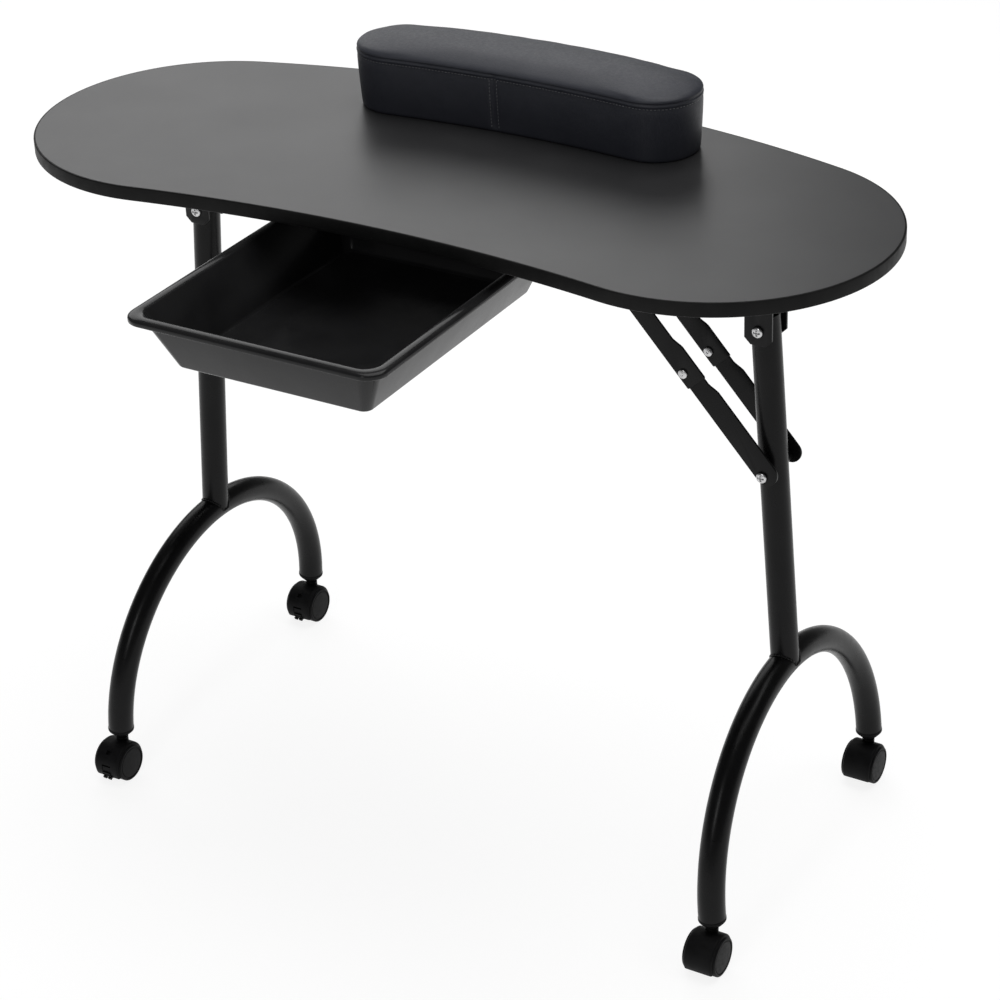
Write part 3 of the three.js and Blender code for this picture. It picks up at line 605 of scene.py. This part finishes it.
def evened(mesh, first, times):
    """Smooths the vertices from a given one on, which takes out the ripples of the simulation."""
    shape = bmesh.new()
    shape.from_mesh(mesh)
    shape.verts.ensure_lookup_table()
    for _ in range(times):
        bmesh.ops.smooth_vert(
            shape, verts=shape.verts[first:], factor=0.5, use_axis_x=True, use_axis_y=True, use_axis_z=True)
    shape.to_mesh(mesh)
    shape.free()


def stitch(centre, along, out):
    """One stitch, flat and arched, that dips into the cover at both ends."""
    across = along.cross(out).normalized()
    rings = []
    for k in range(7):
        share = k / 6 - 0.5
        lift = THREAD_RADIUS * (0.55 - 5.6 * share ** 2)
        thick = THREAD_RADIUS * (1 - 0.9 * abs(2 * share) ** 3)
        middle = centre + along * STITCH_LENGTH * share + out * lift
        rings.append(ring_about(middle, across * 1.15 * thick, out * thick, 8))
    return loft(rings)


def stitches(verts, indices):
    """Stitches at an even pitch over the given vertices in turn."""
    found = []
    travelled = 0.0
    wanted = 0.0
    for first, second in zip(indices, indices[1:]):
        a, b = verts[first], verts[second]
        step = b.co - a.co
        while wanted < travelled + step.length:
            share = (wanted - travelled) / step.length
            out = a.normal.lerp(b.normal, share).normalized()
            found.append(stitch(a.co.lerp(b.co, share), step.normalized(), out))
            wanted += STITCH_PITCH
        travelled += step.length
    return joined(*found)


def wrist_cushion():
    """The padded cover with its seams, stitched all round and beside the upright seam."""
    low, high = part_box("wrist_cushion")
    outline = Bean(low, high, CUSHION_END_RADIUS, hollow_y("wrist_cushion"))
    rows = cushion_rings(low, high)
    mesh, count = cushion_mesh(outline, rows)
    cushion = add_piece("padded_wrist_cushion", mesh, MATERIALS["cushion_leather"], "tabletop",
                        ("wrist_cushion",))
    stitch_row = next(k for k, row in enumerate(rows) if row[2] == HELD)
    # The upright seam is the column of points nearest its place on the hollow side.
    front_half = range(count // 2, count)
    column = min(front_half, key=lambda k: abs(mesh.vertices[k].co.x - UPRIGHT_SEAM_X))
    pins = [pin for _, _, pin in rows for _ in range(count)]
    first_row = 7
    for row in range(first_row, stitch_row + 4):
        index = row * count + column
        pins[index] = max(pins[index], HELD)
        mesh.vertices[index].co += Vector((0, UPRIGHT_SEAM_DEPTH, 0))
    inflate(cushion, pins, CUSHION_CAP)
    evened(cushion.data, (stitch_row + 6) * count, 6)
    cushion.modifiers.new("fine", "SUBSURF").levels = 1
    fine = evaluated(cushion)
    cushion.modifiers.clear()
    cushion.data = fine
    fine.shade_smooth()
    runs = [[stitch_row * count + k % count for k in range(count + 1)]]
    for offset in (-1, 1):
        runs.append([row * count + column + offset for row in range(first_row, stitch_row + 1)])
    threads = joined(*(stitches(fine.vertices, run) for run in runs))
    add_piece("cushion_stitching", finished_mesh("cushion_stitching", *threads), THREAD, "tabletop")


# ---- Tray ----
TRAY_RIM = 12.5 * MM
TRAY_WALL = 2.4 * MM
TRAY_LIP = 6.5 * MM
TRAY_DRAFT = 22 * MM
TRAY_CORNER = 20 * MM
RIM_CROWN = 3.2 * MM            # how far the rim's edges lie below its middle


def rounded_rectangle(centre, half_x, half_y, radius, z):
    ring = []
    for sx, sy, start in ((1, -1, -90), (1, 1, 0), (-1, 1, 90), (-1, -1, 180)):
        corner = (centre.x + sx * (half_x - radius), centre.y + sy * (half_y - radius))
        ring += [(x, y, z) for x, y in arc(corner, radius, start, start + 90, 12)]
    return ring


def tray():
    low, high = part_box("pull_out_tray")
    centre = (low + high) / 2
    half = (high - low) / 2
    top, floor = high.z, low.z
    wall_top = TRAY_RIM - TRAY_WALL
    wall_foot = wall_top + TRAY_DRAFT
    lip_foot = top - TRAY_LIP
    under = top - TRAY_WALL
    # (inset from the rim's outer edge, height): outside from the floor up, over the rim, down inside.
    profile = [(wall_foot + 9 * MM, floor)]
    profile += arc((wall_foot + 4 * MM, floor + 4.2 * MM), 4.2 * MM, -90, -160, 5)
    profile += arc((wall_top - 2 * MM, under - 2 * MM), 2 * MM, 0, 90, 3)
    profile += [(TRAY_WALL + 1 * MM, under), (TRAY_WALL, under - 0.8 * MM)]
    profile += [(TRAY_WALL, lip_foot + 0.4 * MM), (TRAY_WALL - 0.4 * MM, lip_foot)]
    profile += [(0.6 * MM, lip_foot), (0.15 * MM, lip_foot + 0.5 * MM)]
    for degrees in range(180, 15, -12):
        across = math.cos(math.radians(degrees))
        rise = math.sin(math.radians(degrees)) ** 0.9
        profile.append((TRAY_RIM / 2 * (1 + across) + 0.1 * MM, top - RIM_CROWN * (1 - rise)))
    inner_foot = wall_foot + TRAY_WALL
    profile += arc((inner_foot + 3.4 * MM, floor + TRAY_WALL + 4.2 * MM), 4.2 * MM, 200, 270, 5)
    profile.append((inner_foot + 10 * MM, floor + TRAY_WALL))
    rings = []
    for inset, z in profile:
        radius = max(TRAY_CORNER - 0.35 * inset, 8 * MM)
        rings.append(rounded_rectangle(centre, half.x - inset, half.y - inset, radius, z))
    slot_piece("moulded_tray", loft(rings), "tray_plastic", "tray", ("pull_out_tray",), sharp_angle=60)


# ---- Bolts, rivets and screws ----
RECESS_ARM = 0.62               # shares of the head's radius
RECESS_HALF_SLOT = 0.17
RECESS_DEPTH = 0.75             # a share of the head's height


def within(room, ease):
    """0 outside, 1 inside, and a slope of the given width between them."""
    return max(0, min(1, room / ease))


def cross_recess_head(radius, height, rings=22, spokes=72):
    """A domed screw head with a cross recess, its flat underside at Z = 0."""
    levels = []
    for k in range(1, rings + 1):
        share = k / rings
        dome = height * (0.42 + 0.58 * math.sqrt(max(1 - share ** 2.2, 0)))
        level = []
        for j in range(spokes):
            angle = math.tau * j / spokes
            x, y = share * math.cos(angle), share * math.sin(angle)
            short, long = sorted((abs(x), abs(y)))
            inside = within(RECESS_HALF_SLOT - short, 0.05) * within(RECESS_ARM - long, 0.08)
            sink = RECESS_DEPTH * height * inside * (1 - 0.5 * long / RECESS_ARM)
            level.append((radius * x, radius * y, dome - sink))
        levels.append(level)
    foot = [(x * 0.98, y * 0.98, 0) for x, y, _ in levels[-1]]
    points, faces = loft([*levels, foot], capped=False)
    middle = len(points)
    faces.append(tuple(range(middle - spokes, middle)))
    faces += [(middle, k, (k + 1) % spokes) for k in range(spokes)]
    points.append((0, 0, height * (1 - RECESS_DEPTH)))
    return points, faces


def lock_nut(radius, height):
    """A hexagon nut with its round locking collar, underside at Z = 0."""
    corner = radius / math.cos(math.radians(30)) * 0.93
    hexagon = arc((0, 0), corner, 0, 300, 5)
    body = moved(plate([hexagon], height * 0.7, 0.3 * MM), Matrix.Translation((0, 0, height * 0.35)))
    collar = lathe([(0, height * 0.6), (radius * 0.78, height * 0.6), (radius * 0.78, height * 0.9),
                    (radius * 0.66, height), (BOLT_RADIUS * 0.95, height), (BOLT_RADIUS * 0.9, height * 0.9),
                    (0, height * 0.9)], 40)
    return joined(body, collar)


def through_bolt(front_grip, rear_grip):
    """A bolt along Y: its head at -front_grip, its lock nut at rear_grip."""
    start, end = -front_grip - 1 * MM, rear_grip + 1 * MM
    shaft = lathe([(0, start), (BOLT_RADIUS, start), (BOLT_RADIUS, end), (0, end)], 32)
    to_head = Matrix.Translation((0, -front_grip, 0)) @ turned_to((0, -1, 0))
    to_nut = Matrix.Translation((0, rear_grip, 0)) @ turned_to((0, 1, 0))
    return joined(
        moved(shaft, turned_to((0, 1, 0))),
        moved(cross_recess_head(BOLT_HEAD_RADIUS, BOLT_HEAD), to_head),
        moved(lock_nut(BOLT_HEAD_RADIUS, BOLT_HEAD), to_nut))


def rivet_head():
    """A domed rivet head with the small dimple the setting punch leaves, and its shank."""
    head = 4.7 * MM
    profile = [(0, -STRAP), (BOLT_RADIUS, -STRAP), (BOLT_RADIUS, 0.05 * MM), (head, 0.05 * MM)]
    profile += arc((head - 1.0 * MM, 1.0 * MM), 1.0 * MM, 0, 60, 4)
    profile += [(0.5 * head, 2.15 * MM), (0.32 * head, 2.4 * MM), (0.26 * head, 2.15 * MM), (0, 1.9 * MM)]
    return lathe(profile, 48)


# ---- Legs ----
def leg_frame(side):
    """Where the leg's own frame lies: its pivot at the origin, its post down -Z, front towards -Y."""
    pivot = JOINT_PLACE[f"leg_fold_{side}"]
    foot_x = JOINT_PLACE[f"caster_swivel_{side}_front"].x
    splay = math.atan2(abs(foot_x) - abs(pivot.x), pivot.z - FOOT_HEIGHT)
    turn = Matrix.Rotation(-SIDES[side] * splay, 4, "Y")
    drop = (pivot.z - FOOT_HEIGHT) / math.cos(splay)
    return Matrix.Translation(pivot) @ turn, drop


def arch_radius():
    front = JOINT_PLACE["caster_swivel_right_front"].y
    rear = JOINT_PLACE["caster_swivel_right_rear"].y
    return (rear - front) / 2


def tube_rings(path, radius):
    """Rings round a path in the YZ plane."""
    rings = []
    side = Vector((radius, 0, 0))
    for before, point, after in zip([path[0], *path], path, [*path[1:], path[-1]]):
        rings.append(ring_about(point, side, (after - before).normalized().cross(side), 48))
    return rings


def arched_foot(drop):
    """A half circle of tube with short straight ends, open at both."""
    span = arch_radius()
    bend = arc((0, ARCH_STRAIGHT - drop), span, 180, 0, 96)
    path = [Vector((0, y, z)) for y, z in [(-span, -drop), *bend, (span, -drop)]]
    outer = tube_rings(path, ARCH_RADIUS)
    inner = tube_rings(path, ARCH_RADIUS - TUBE_WALL)
    return loft(outer + inner[::-1], closed=True)


def saddle(middle, radius, sides=64, grow=0.0):
    """Where a round column meets the arched tube, whose middle line peaks at a given height."""
    ring = ring_about(Vector((0, 0, middle)), Vector((radius, 0, 0)), Vector((0, radius, 0)), sides)
    return [(x, y, z + math.sqrt(max((ARCH_RADIUS + grow) ** 2 - x * x, 0))) for x, y, z in ring]


def post(drop):
    """A tube whose foot sinks a little way into the arched tube."""
    middle = -drop + ARCH_STRAIGHT + arch_radius()
    inner = POST_RADIUS - TUBE_WALL
    lip = 0.5 * MM
    top = POST_ABOVE_PIVOT
    rings = [saddle(middle - 1 * MM, POST_RADIUS)]
    for radius, z in ((POST_RADIUS, middle + 30 * MM), (POST_RADIUS, top - lip),
                      (POST_RADIUS - lip, top), (inner, top)):
        rings.append([(x, y, z) for x, y, _ in saddle(0, radius)])
    rings.append(saddle(middle - 1 * MM, inner))
    return loft(rings, closed=True)


def link_layers(side, sign):
    """How far the upper and the lower link lie from the post's middle, before or behind it.

    The left leg is the right leg turned half a turn, and the right leg's upper links lie nearer
    to the front than its lower links do."""
    if sign * SIDES[side] < 0:
        return OUTER_LAYER, INNER_LAYER
    return INNER_LAYER, OUTER_LAYER


def link_spacers(side, brace_drop):
    """The two bosses on the post that hold the brace links off it, in the leg's own frame."""
    at = Matrix.Translation((0, 0, -brace_drop))
    bosses = []
    for sign in DEPTHS.values():
        _, lower = link_layers(side, sign)
        reach = lower - LAYER_GAP
        profile = [(0, 0), (SPACER_RADIUS + 1.2 * MM, POST_RADIUS - 2.6 * MM)]
        profile += [(SPACER_RADIUS, POST_RADIUS - 1.4 * MM), (SPACER_RADIUS, reach - 0.4 * MM)]
        profile += [(SPACER_RADIUS - 0.4 * MM, reach), (0, reach)]
        bosses.append(moved(lathe(profile, 40), at @ turned_to((0, sign, 0))))
    return joined(*bosses)


def weld_bead(drop):
    """The painted weld round the foot of the post, with the ripples of its passes."""
    stand_off = 0.2 * MM
    middle = -drop + ARCH_STRAIGHT + arch_radius()
    rings = []
    for k, (x, y, z) in enumerate(saddle(middle, POST_RADIUS + stand_off, 240, stand_off)):
        bead = WELD_RADIUS * (1 + 0.13 * math.sin(math.tau * k / 7.5))
        out = Vector((x, y, 0)).normalized() * bead
        rings.append(ring_about(Vector((x, y, z)), out, Vector((0, 0, 1.25 * bead)), 10))
    return loft(rings, closed=True)


def tube_plug():
    """Plastic end plug: a bevelled head below the tube and a shank in it."""
    head, shank = 9 * MM, 12 * MM
    bore = ARCH_RADIUS - TUBE_WALL - 0.6 * MM
    profile = [(0, -head), (8.2 * MM, -head), (8.8 * MM, -head + 0.3 * MM)]
    profile += [(ARCH_RADIUS - 0.5 * MM, -4.2 * MM), (ARCH_RADIUS + 0.1 * MM, -3.4 * MM)]
    profile += [(ARCH_RADIUS + 0.3 * MM, -2.8 * MM), (ARCH_RADIUS + 0.3 * MM, -0.6 * MM)]
    profile += [(ARCH_RADIUS, -0.1 * MM), (bore, -0.1 * MM), (bore, shank), (0, shank)]
    return lathe(profile, 56)


def legs():
    for side in SIDES:
        place, drop = leg_frame(side)
        body = f"leg_{side}"
        brace_drop = (JOINT_PLACE[f"lower_brace_{side}_turn"] - JOINT_PLACE[f"leg_fold_{side}"]).length
        for name, part, replaces, sharp_angle in (
                ("post_tube", post(drop), (f"leg_post_{side}",), 40),
                ("arch_tube", arched_foot(drop), (f"arched_foot_{side}",), 40),
                ("post_weld", weld_bead(drop), (), 80),
                ("link_spacers", link_spacers(side, brace_drop), (), 40)):
            slot_piece(f"{name}_{side}", part, "painted_frame", body, replaces, place, sharp_angle)
        for depth, sign in DEPTHS.items():
            at = place @ Matrix.Translation((0, sign * arch_radius(), -drop))
            slot_piece(f"end_plug_{side}_{depth}", tube_plug(), "black_nylon", body,
                       (f"tube_plug_{side}_{depth}",), at)


# ---- Brackets, bolts and folding braces ----
def elbow_place(side):
    foot = JOINT_PLACE[f"lower_brace_{side}_turn"]
    top = JOINT_PLACE[f"upper_brace_{side}_turn"]
    return foot + (top - foot).normalized() * LOWER_LINK


def link(length, tail, foot_width, elbow_width, shoulder):
    """A flat link along +X, its straight edge on the -Y side."""
    low = -LINK_EDGE
    foot = low + foot_width
    elbow = low + elbow_width
    end = length + tail
    ease = 1 * MM
    step = 1.6 * MM
    rise = (foot - elbow) * 0.22
    outline = [(0, low), (end - ease, low), (end, low + ease), (end, elbow - ease), (end - ease, elbow)]
    outline += [(shoulder + LINK_SHOULDER + step, elbow), (shoulder + LINK_SHOULDER - step, elbow + rise)]
    outline += [(shoulder + step, foot - rise), (shoulder - step, foot)]
    outline += arc((0, (low + foot) / 2), foot_width / 2, 90, 270, 24)[:-1]
    holes = [arc((x, 0), BOLT_RADIUS + 0.1 * MM, 360, 0, 28)[:-1] for x in (0, length)]
    return plate([outline, *holes], STRAP, 0.35 * MM)


def flat_frame(start, toward, y):
    """A frame in the leg's plane: X along the link, Y up and away from its straight edge."""
    along = (toward - start).normalized()
    across = Vector((-along.z, 0, along.x))
    if across.z < 0:
        across = -across
    normal = along.cross(across)
    place = Matrix((along, across, normal)).transposed().to_4x4()
    place.translation = Vector((start.x, start.y + y, start.z))
    return place


def braces():
    for side in SIDES:
        foot = JOINT_PLACE[f"lower_brace_{side}_turn"]
        top = JOINT_PLACE[f"upper_brace_{side}_turn"]
        elbow = elbow_place(side)
        upper_length = (elbow - top).length
        upper = link(upper_length, UPPER_TAIL, LINK_NECK, LINK_WIDTH, upper_length - UPPER_SHOULDER)
        lower = link(LOWER_LINK, LOWER_TAIL, LINK_WIDTH, LINK_NECK, LOWER_LINK - LOWER_SHOULDER)
        for depth, sign in DEPTHS.items():
            upper_y, lower_y = (sign * (layer + STRAP / 2) for layer in link_layers(side, sign))
            slot_piece(f"upper_link_{side}_{depth}", upper, "painted_frame", f"upper_brace_{side}",
                       (f"upper_brace_link_{side}_{depth}",), flat_frame(top, elbow, upper_y))
            slot_piece(f"lower_link_{side}_{depth}", lower, "painted_frame", f"lower_brace_{side}",
                       (f"lower_brace_link_{side}_{depth}",), flat_frame(foot, elbow, lower_y))
            outward = -SIDES[side]
            at = Matrix.Translation(elbow + Vector((0, upper_y + outward * STRAP / 2, 0)))
            slot_piece(f"rivet_{side}_{depth}", rivet_head(), "zinc_steel", f"upper_brace_{side}",
                       (f"elbow_rivet_{side}_{depth}",), at @ turned_to((0, outward, 0)))


def brackets_and_bolts():
    for side in SIDES:
        refined(f"leg_hinge_bracket_{side}", "tabletop")
        refined(f"brace_bracket_{side}", "tabletop")
        beyond = STRAP + LAYER_GAP
        upper_grips, lower_grips = zip(*(
            [layer + beyond for layer in link_layers(side, sign)] for sign in (-1, 1)))
        ear_grips = (EAR_LAYER + beyond, EAR_LAYER + beyond)
        for name, grips, node, joint, body in (
                ("hinge_bolt", ear_grips, "leg_pivot_bolt", f"leg_fold_{side}", "tabletop"),
                ("brace_bolt", lower_grips, "brace_foot_bolt", f"lower_brace_{side}_turn", f"leg_{side}"),
                ("bracket_bolt", upper_grips, "brace_pin", f"upper_brace_{side}_turn", "tabletop")):
            slot_piece(f"{name}_{side}", through_bolt(*grips), "zinc_steel", body, (f"{node}_{side}",),
                       Matrix.Translation(JOINT_PLACE[joint]))


def rails_and_screws():
    """The rails, and the wood screws that hold them and the brackets under the top."""
    head = finished_mesh("wood_screw", *cross_recess_head(SCREW_RADIUS, SCREW_HEAD, spokes=48, rings=16))
    downwards = turned_to((0, 0, -1))
    for side in SIDES:
        refined(f"tray_rail_{side}", "tabletop", 0.4 * MM)
    for side, sign in SIDES.items():
        spots = []
        for bracket in ("leg_hinge_bracket", "brace_bracket"):
            low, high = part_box(f"{bracket}_{side}")
            middle = (low + high) / 2
            reach = (high.x - low.x) / 2 - SCREW_EDGE
            spots += [(middle.x + k * reach, middle.y, high.z - STRAP) for k in (-1, 1)]
        low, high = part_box(f"tray_rail_{side}")
        outer = high.x if side == "right" else low.x
        flange = outer - sign * (RAIL_WALL + RAIL_FLANGE) / 2
        for share in (0.06, 0.5, 0.94):
            spots.append((flange, low.y + (high.y - low.y) * share, high.z - RAIL_WALL))
        for k, spot in enumerate(spots):
            slot_piece(f"wood_screw_{side}_{k}", head, "zinc_steel", "tabletop", (),
                       Matrix.Translation(spot) @ downwards)


# ---- Casters ----
AXLE = Vector((0, -CASTER_TRAIL, WHEEL_RADIUS))
HOOD_SIDE = 4.2 * MM            # how far the hood's sides come down from its top
HOOD_ENDS = (12, 208)           # degrees about the axle, up from the caster's front
POCKET_ENDS = (127, 139)
LEVER_ENDS = (174, 215)
LEVER_HALF_WIDTH = 5 * MM
LEVER_INNER = 15.6 * MM
LEVER_LIP = HOOD_RADIUS + 2.6 * MM
LEVER_RIB = HOOD_RADIUS + 1.2 * MM
OUTSIDE = HOOD_RADIUS + 4 * MM  # clear of the hood and the lever
STEM_RADIUS = 4 * MM
STEM_FOOT = 27 * MM
STEM_TOP = 69.5 * MM
COLLAR_TOP = 46.9 * MM
BOSS_TOP = 44.6 * MM
BOSS_LENGTH = 20 * MM


def about_axle(x, radius, degrees):
    angle = math.radians(degrees)
    return (x, AXLE.y + radius * math.cos(angle), AXLE.z + radius * math.sin(angle))


def turned_section(section, start, end, steps):
    """A section of (x, radius) pairs turned about the axle, from one angle to another."""
    turns = (start + (end - start) * k / steps for k in range(steps + 1))
    return loft([[about_axle(x, radius, degrees) for x, radius in section] for degrees in turns])


def hood_shell():
    """The curved cover: a rounded channel section turned about the axle."""
    half, top = HOOD_HALF_WIDTH, HOOD_RADIUS
    ease = 2.6 * MM
    inner = half - HOOD_WALL
    section = [(-half, top - HOOD_SIDE)]
    section += arc((-half + ease, top - ease), ease, 180, 90, 6)
    section += arc((half - ease, top - ease), ease, 90, 0, 6)
    section += [(half, top - HOOD_SIDE), (inner, top - HOOD_SIDE), (inner, top - ease)]
    section += [(inner - 1 * MM, top - HOOD_WALL), (1 * MM - inner, top - HOOD_WALL)]
    section += [(-inner, top - ease), (-inner, top - HOOD_SIDE)]
    return turned_section(section, *HOOD_ENDS, 56)


def hood_web():
    """The flat middle wall between the wheels."""
    start, end = HOOD_ENDS
    edge = [about_axle(0, HOOD_RADIUS - 0.9 * MM, degrees) for degrees in range(start, end + 1, 4)]
    outline = [(AXLE.y + 4 * MM, AXLE.z - 4 * MM)] + [(y, z) for _, y, z in edge]
    outline.append((AXLE.y - 2 * MM, AXLE.z - 7 * MM))
    flat = plate([outline], 2 * HOOD_WEB, 0.3 * MM)
    upright = Matrix(((0, 0, 1), (1, 0, 0), (0, 1, 0))).to_4x4()
    return moved(flat, upright)


def flap(inner, outer, start, end, half_width):
    """A curved flap about the axle."""
    section = ((-half_width, inner), (half_width, inner), (half_width, outer), (-half_width, outer))
    return turned_section(section, start, end, 14)


def caster_hood(braked):
    """The hood with its web and stem boss, and room for the brake lever on a braked caster."""
    foot = BOSS_TOP - BOSS_LENGTH
    boss = lathe([(0, foot), (6.4 * MM, foot), (6.4 * MM, BOSS_TOP - 0.6 * MM), (5.8 * MM, BOSS_TOP),
                  (0, BOSS_TOP)], 40)
    hood = combined(hood_shell(), [hood_web(), boss], "UNION")
    bore = STEM_RADIUS + 0.3 * MM
    bore_foot = STEM_FOOT - 0.3 * MM
    cuts = [lathe([(0, bore_foot), (bore, bore_foot), (bore, STEM_TOP), (0, STEM_TOP)], 32)]
    if braked:
        start, end = LEVER_ENDS
        room = 0.4 * MM
        cuts.append(flap(LEVER_INNER - room, OUTSIDE, start - 5, end + 6, LEVER_HALF_WIDTH + room))
        # A small pocket above the pedal.
        cuts.append(flap(HOOD_RADIUS - 2.4 * MM, OUTSIDE, *POCKET_ENDS, 2.6 * MM))
    return combined(hood, cuts, "DIFFERENCE")


def brake_lever():
    """The pedal in the hood's back: finger ribs above a lip that is notched into two teeth."""
    start, end = LEVER_ENDS
    foot = HOOD_RADIUS - 1 * MM
    pedal = flap(LEVER_INNER, HOOD_RADIUS - 0.4 * MM, start, end, LEVER_HALF_WIDTH)
    raised = [flap(foot, top, end - back, end - back + width, LEVER_HALF_WIDTH)
              for top, back, width in ((LEVER_RIB, 24, 4), (LEVER_RIB, 17, 4), (LEVER_LIP, 10, 7))]
    notch = flap(foot + 0.6 * MM, OUTSIDE, end - 12, end - 1, 1.1 * MM)
    return combined(combined(pedal, raised, "UNION"), [notch], "DIFFERENCE")


def wheel():
    """A solid nylon wheel with a groove round its outer face; its axis is Z."""
    width = WHEEL_OUTER_X - WHEEL_INNER_X
    rim = WHEEL_RADIUS
    profile = [(0, 0), (rim - 1 * MM, 0), (rim - 0.3 * MM, 0.3 * MM), (rim, 1.0 * MM)]
    profile += [(rim, width - 2.2 * MM)]
    profile += arc((rim - 1.6 * MM, width - 1.8 * MM), 1.6 * MM, 0, 90, 5)
    profile += [(rim - 2.6 * MM, width - 0.3 * MM), (rim - 2.9 * MM, width - 1.1 * MM)]
    profile += [(rim - 3.7 * MM, width - 1.1 * MM), (rim - 4.0 * MM, width - 0.5 * MM)]
    profile += [(0.6 * rim, width - 0.25 * MM), (0.3 * rim, width - 0.1 * MM), (0, width)]
    return lathe(profile, 72)


def caster_stem():
    """Stem with its collar between the hood and the tube plug."""
    ease = 0.3 * MM
    low, high = BOSS_TOP + ease, COLLAR_TOP
    collar = STEM_RADIUS + 1.3 * MM
    profile = [(0, STEM_FOOT), (STEM_RADIUS, STEM_FOOT), (STEM_RADIUS, low), (collar - ease, low)]
    profile += [(collar, low + ease), (collar, high - ease), (collar - ease, high), (STEM_RADIUS, high)]
    profile += [(STEM_RADIUS, STEM_TOP - 1 * MM), (STEM_RADIUS - 1 * MM, STEM_TOP), (0, STEM_TOP)]
    return lathe(profile, 40)


def casters():
    """Four casters on turning stems; the left pair has brakes."""
    hoods = {side: finished_mesh("caster_hood", *caster_hood(side == "left"), 35) for side in SIDES}
    lever = finished_mesh("brake_lever", *brake_lever(), 35)
    disc = finished_mesh("wheel", *wheel(), 50)
    stem = finished_mesh("stem", *caster_stem(), 40)
    for side in SIDES:
        for depth in DEPTHS:
            corner = f"{side}_{depth}"
            swivel = JOINT_PLACE[f"caster_swivel_{corner}"]
            place = Matrix.Translation((swivel.x, swivel.y, 0))
            body = f"caster_{corner}"
            slot_piece(f"hood_{corner}", hoods[side], "black_nylon", body, (f"caster_hood_{corner}",), place)
            slot_piece(f"stem_{corner}", stem, "painted_frame", body, (f"caster_stem_{corner}",), place)
            for hand, sign in SIDES.items():
                at = place @ Matrix.Translation(AXLE + Vector((sign * WHEEL_INNER_X, 0, 0)))
                slot_piece(f"wheel_{corner}_{hand}", disc, "black_nylon", f"wheel_{corner}_{hand}",
                           (f"caster_wheel_{corner}_{hand}",), at @ turned_to((sign, 0, 0)))
            if side == "left":
                slot_piece(f"brake_pedal_{corner}", lever, "black_nylon", f"brake_{corner}",
                           (f"brake_lever_{corner}",), place)


# ---- Studio ----
CAMERA_PLACE = Vector((1.3348, -2.0405, 1.7323))
CAMERA_YAW = math.radians(-31.65)      # from +Y towards +X
CAMERA_PITCH = math.radians(29.14)     # below the horizon
CAMERA_ROLL = math.radians(-2.28)
CAMERA_LENS = 102.3                    # on a 36 mm sensor


def camera():
    ahead = Vector((math.sin(CAMERA_YAW) * math.cos(CAMERA_PITCH),
                    math.cos(CAMERA_YAW) * math.cos(CAMERA_PITCH), -math.sin(CAMERA_PITCH)))
    data = bpy.data.cameras.new("camera")
    data.lens = CAMERA_LENS
    data.sensor_width = 36
    eye = linked("camera", data)
    look = ahead.to_track_quat("-Z", "Y").to_matrix().to_4x4()
    eye.matrix_world = Matrix.Translation(CAMERA_PLACE) @ look @ Matrix.Rotation(CAMERA_ROLL, 4, "Z")
    bpy.context.scene.camera = eye


def area_light(name, place, size, power):
    """A rectangular softbox aimed at the middle of the table."""
    data = bpy.data.lights.new(name, "AREA")
    data.shape = "RECTANGLE"
    data.size, data.size_y = size
    data.energy = power
    light = linked(name, data)
    light.location = place
    light.rotation_mode = "QUATERNION"
    light.rotation_quaternion = (Vector((0, 0, 0.6)) - Vector(place)).to_track_quat("-Z", "Y")


def floor():
    """A wide pale floor."""
    half = 14.0
    mesh = bpy.data.meshes.new("floor")
    mesh.from_pydata([(-half, -half, 0), (half, -half, 0), (half, half, 0), (-half, half, 0)],
                     [], [(0, 1, 2, 3)])
    material = bpy.data.materials.new("floor")
    material.use_nodes = True
    inputs = material.node_tree.nodes["Principled BSDF"].inputs
    inputs["Base Color"].default_value = (0.24, 0.24, 0.24, 1)
    inputs["Roughness"].default_value = 0.9
    inputs["Specular IOR Level"].default_value = 0.1
    inputs["Emission Color"].default_value = (1, 1, 1, 1)
    inputs["Emission Strength"].default_value = 0.86
    mesh.materials.append(material)
    linked("floor", mesh)


def studio():
    world = bpy.data.worlds.new("studio")
    bpy.context.scene.world = world
    world.use_nodes = True
    background = world.node_tree.nodes["Background"]
    background.inputs["Color"].default_value = (1, 1, 1, 1)
    background.inputs["Strength"].default_value = 0.12
    area_light("back_left_softbox", (-2.6, 2.6, 2.6), (3.4, 2.4), 43)
    area_light("front_softbox", (0.1, -3.0, 1.9), (0.45, 1.3), 14)
    area_light("overhead_softbox", (0.3, 0.4, 3.4), (2.6, 2.6), 62)
    bpy.context.scene.view_settings.view_transform = "Standard"
    floor()


camera()
table_top()
wrist_cushion()
tray()
rails_and_screws()
legs()
brackets_and_bolts()
braces()
casters()
studio()
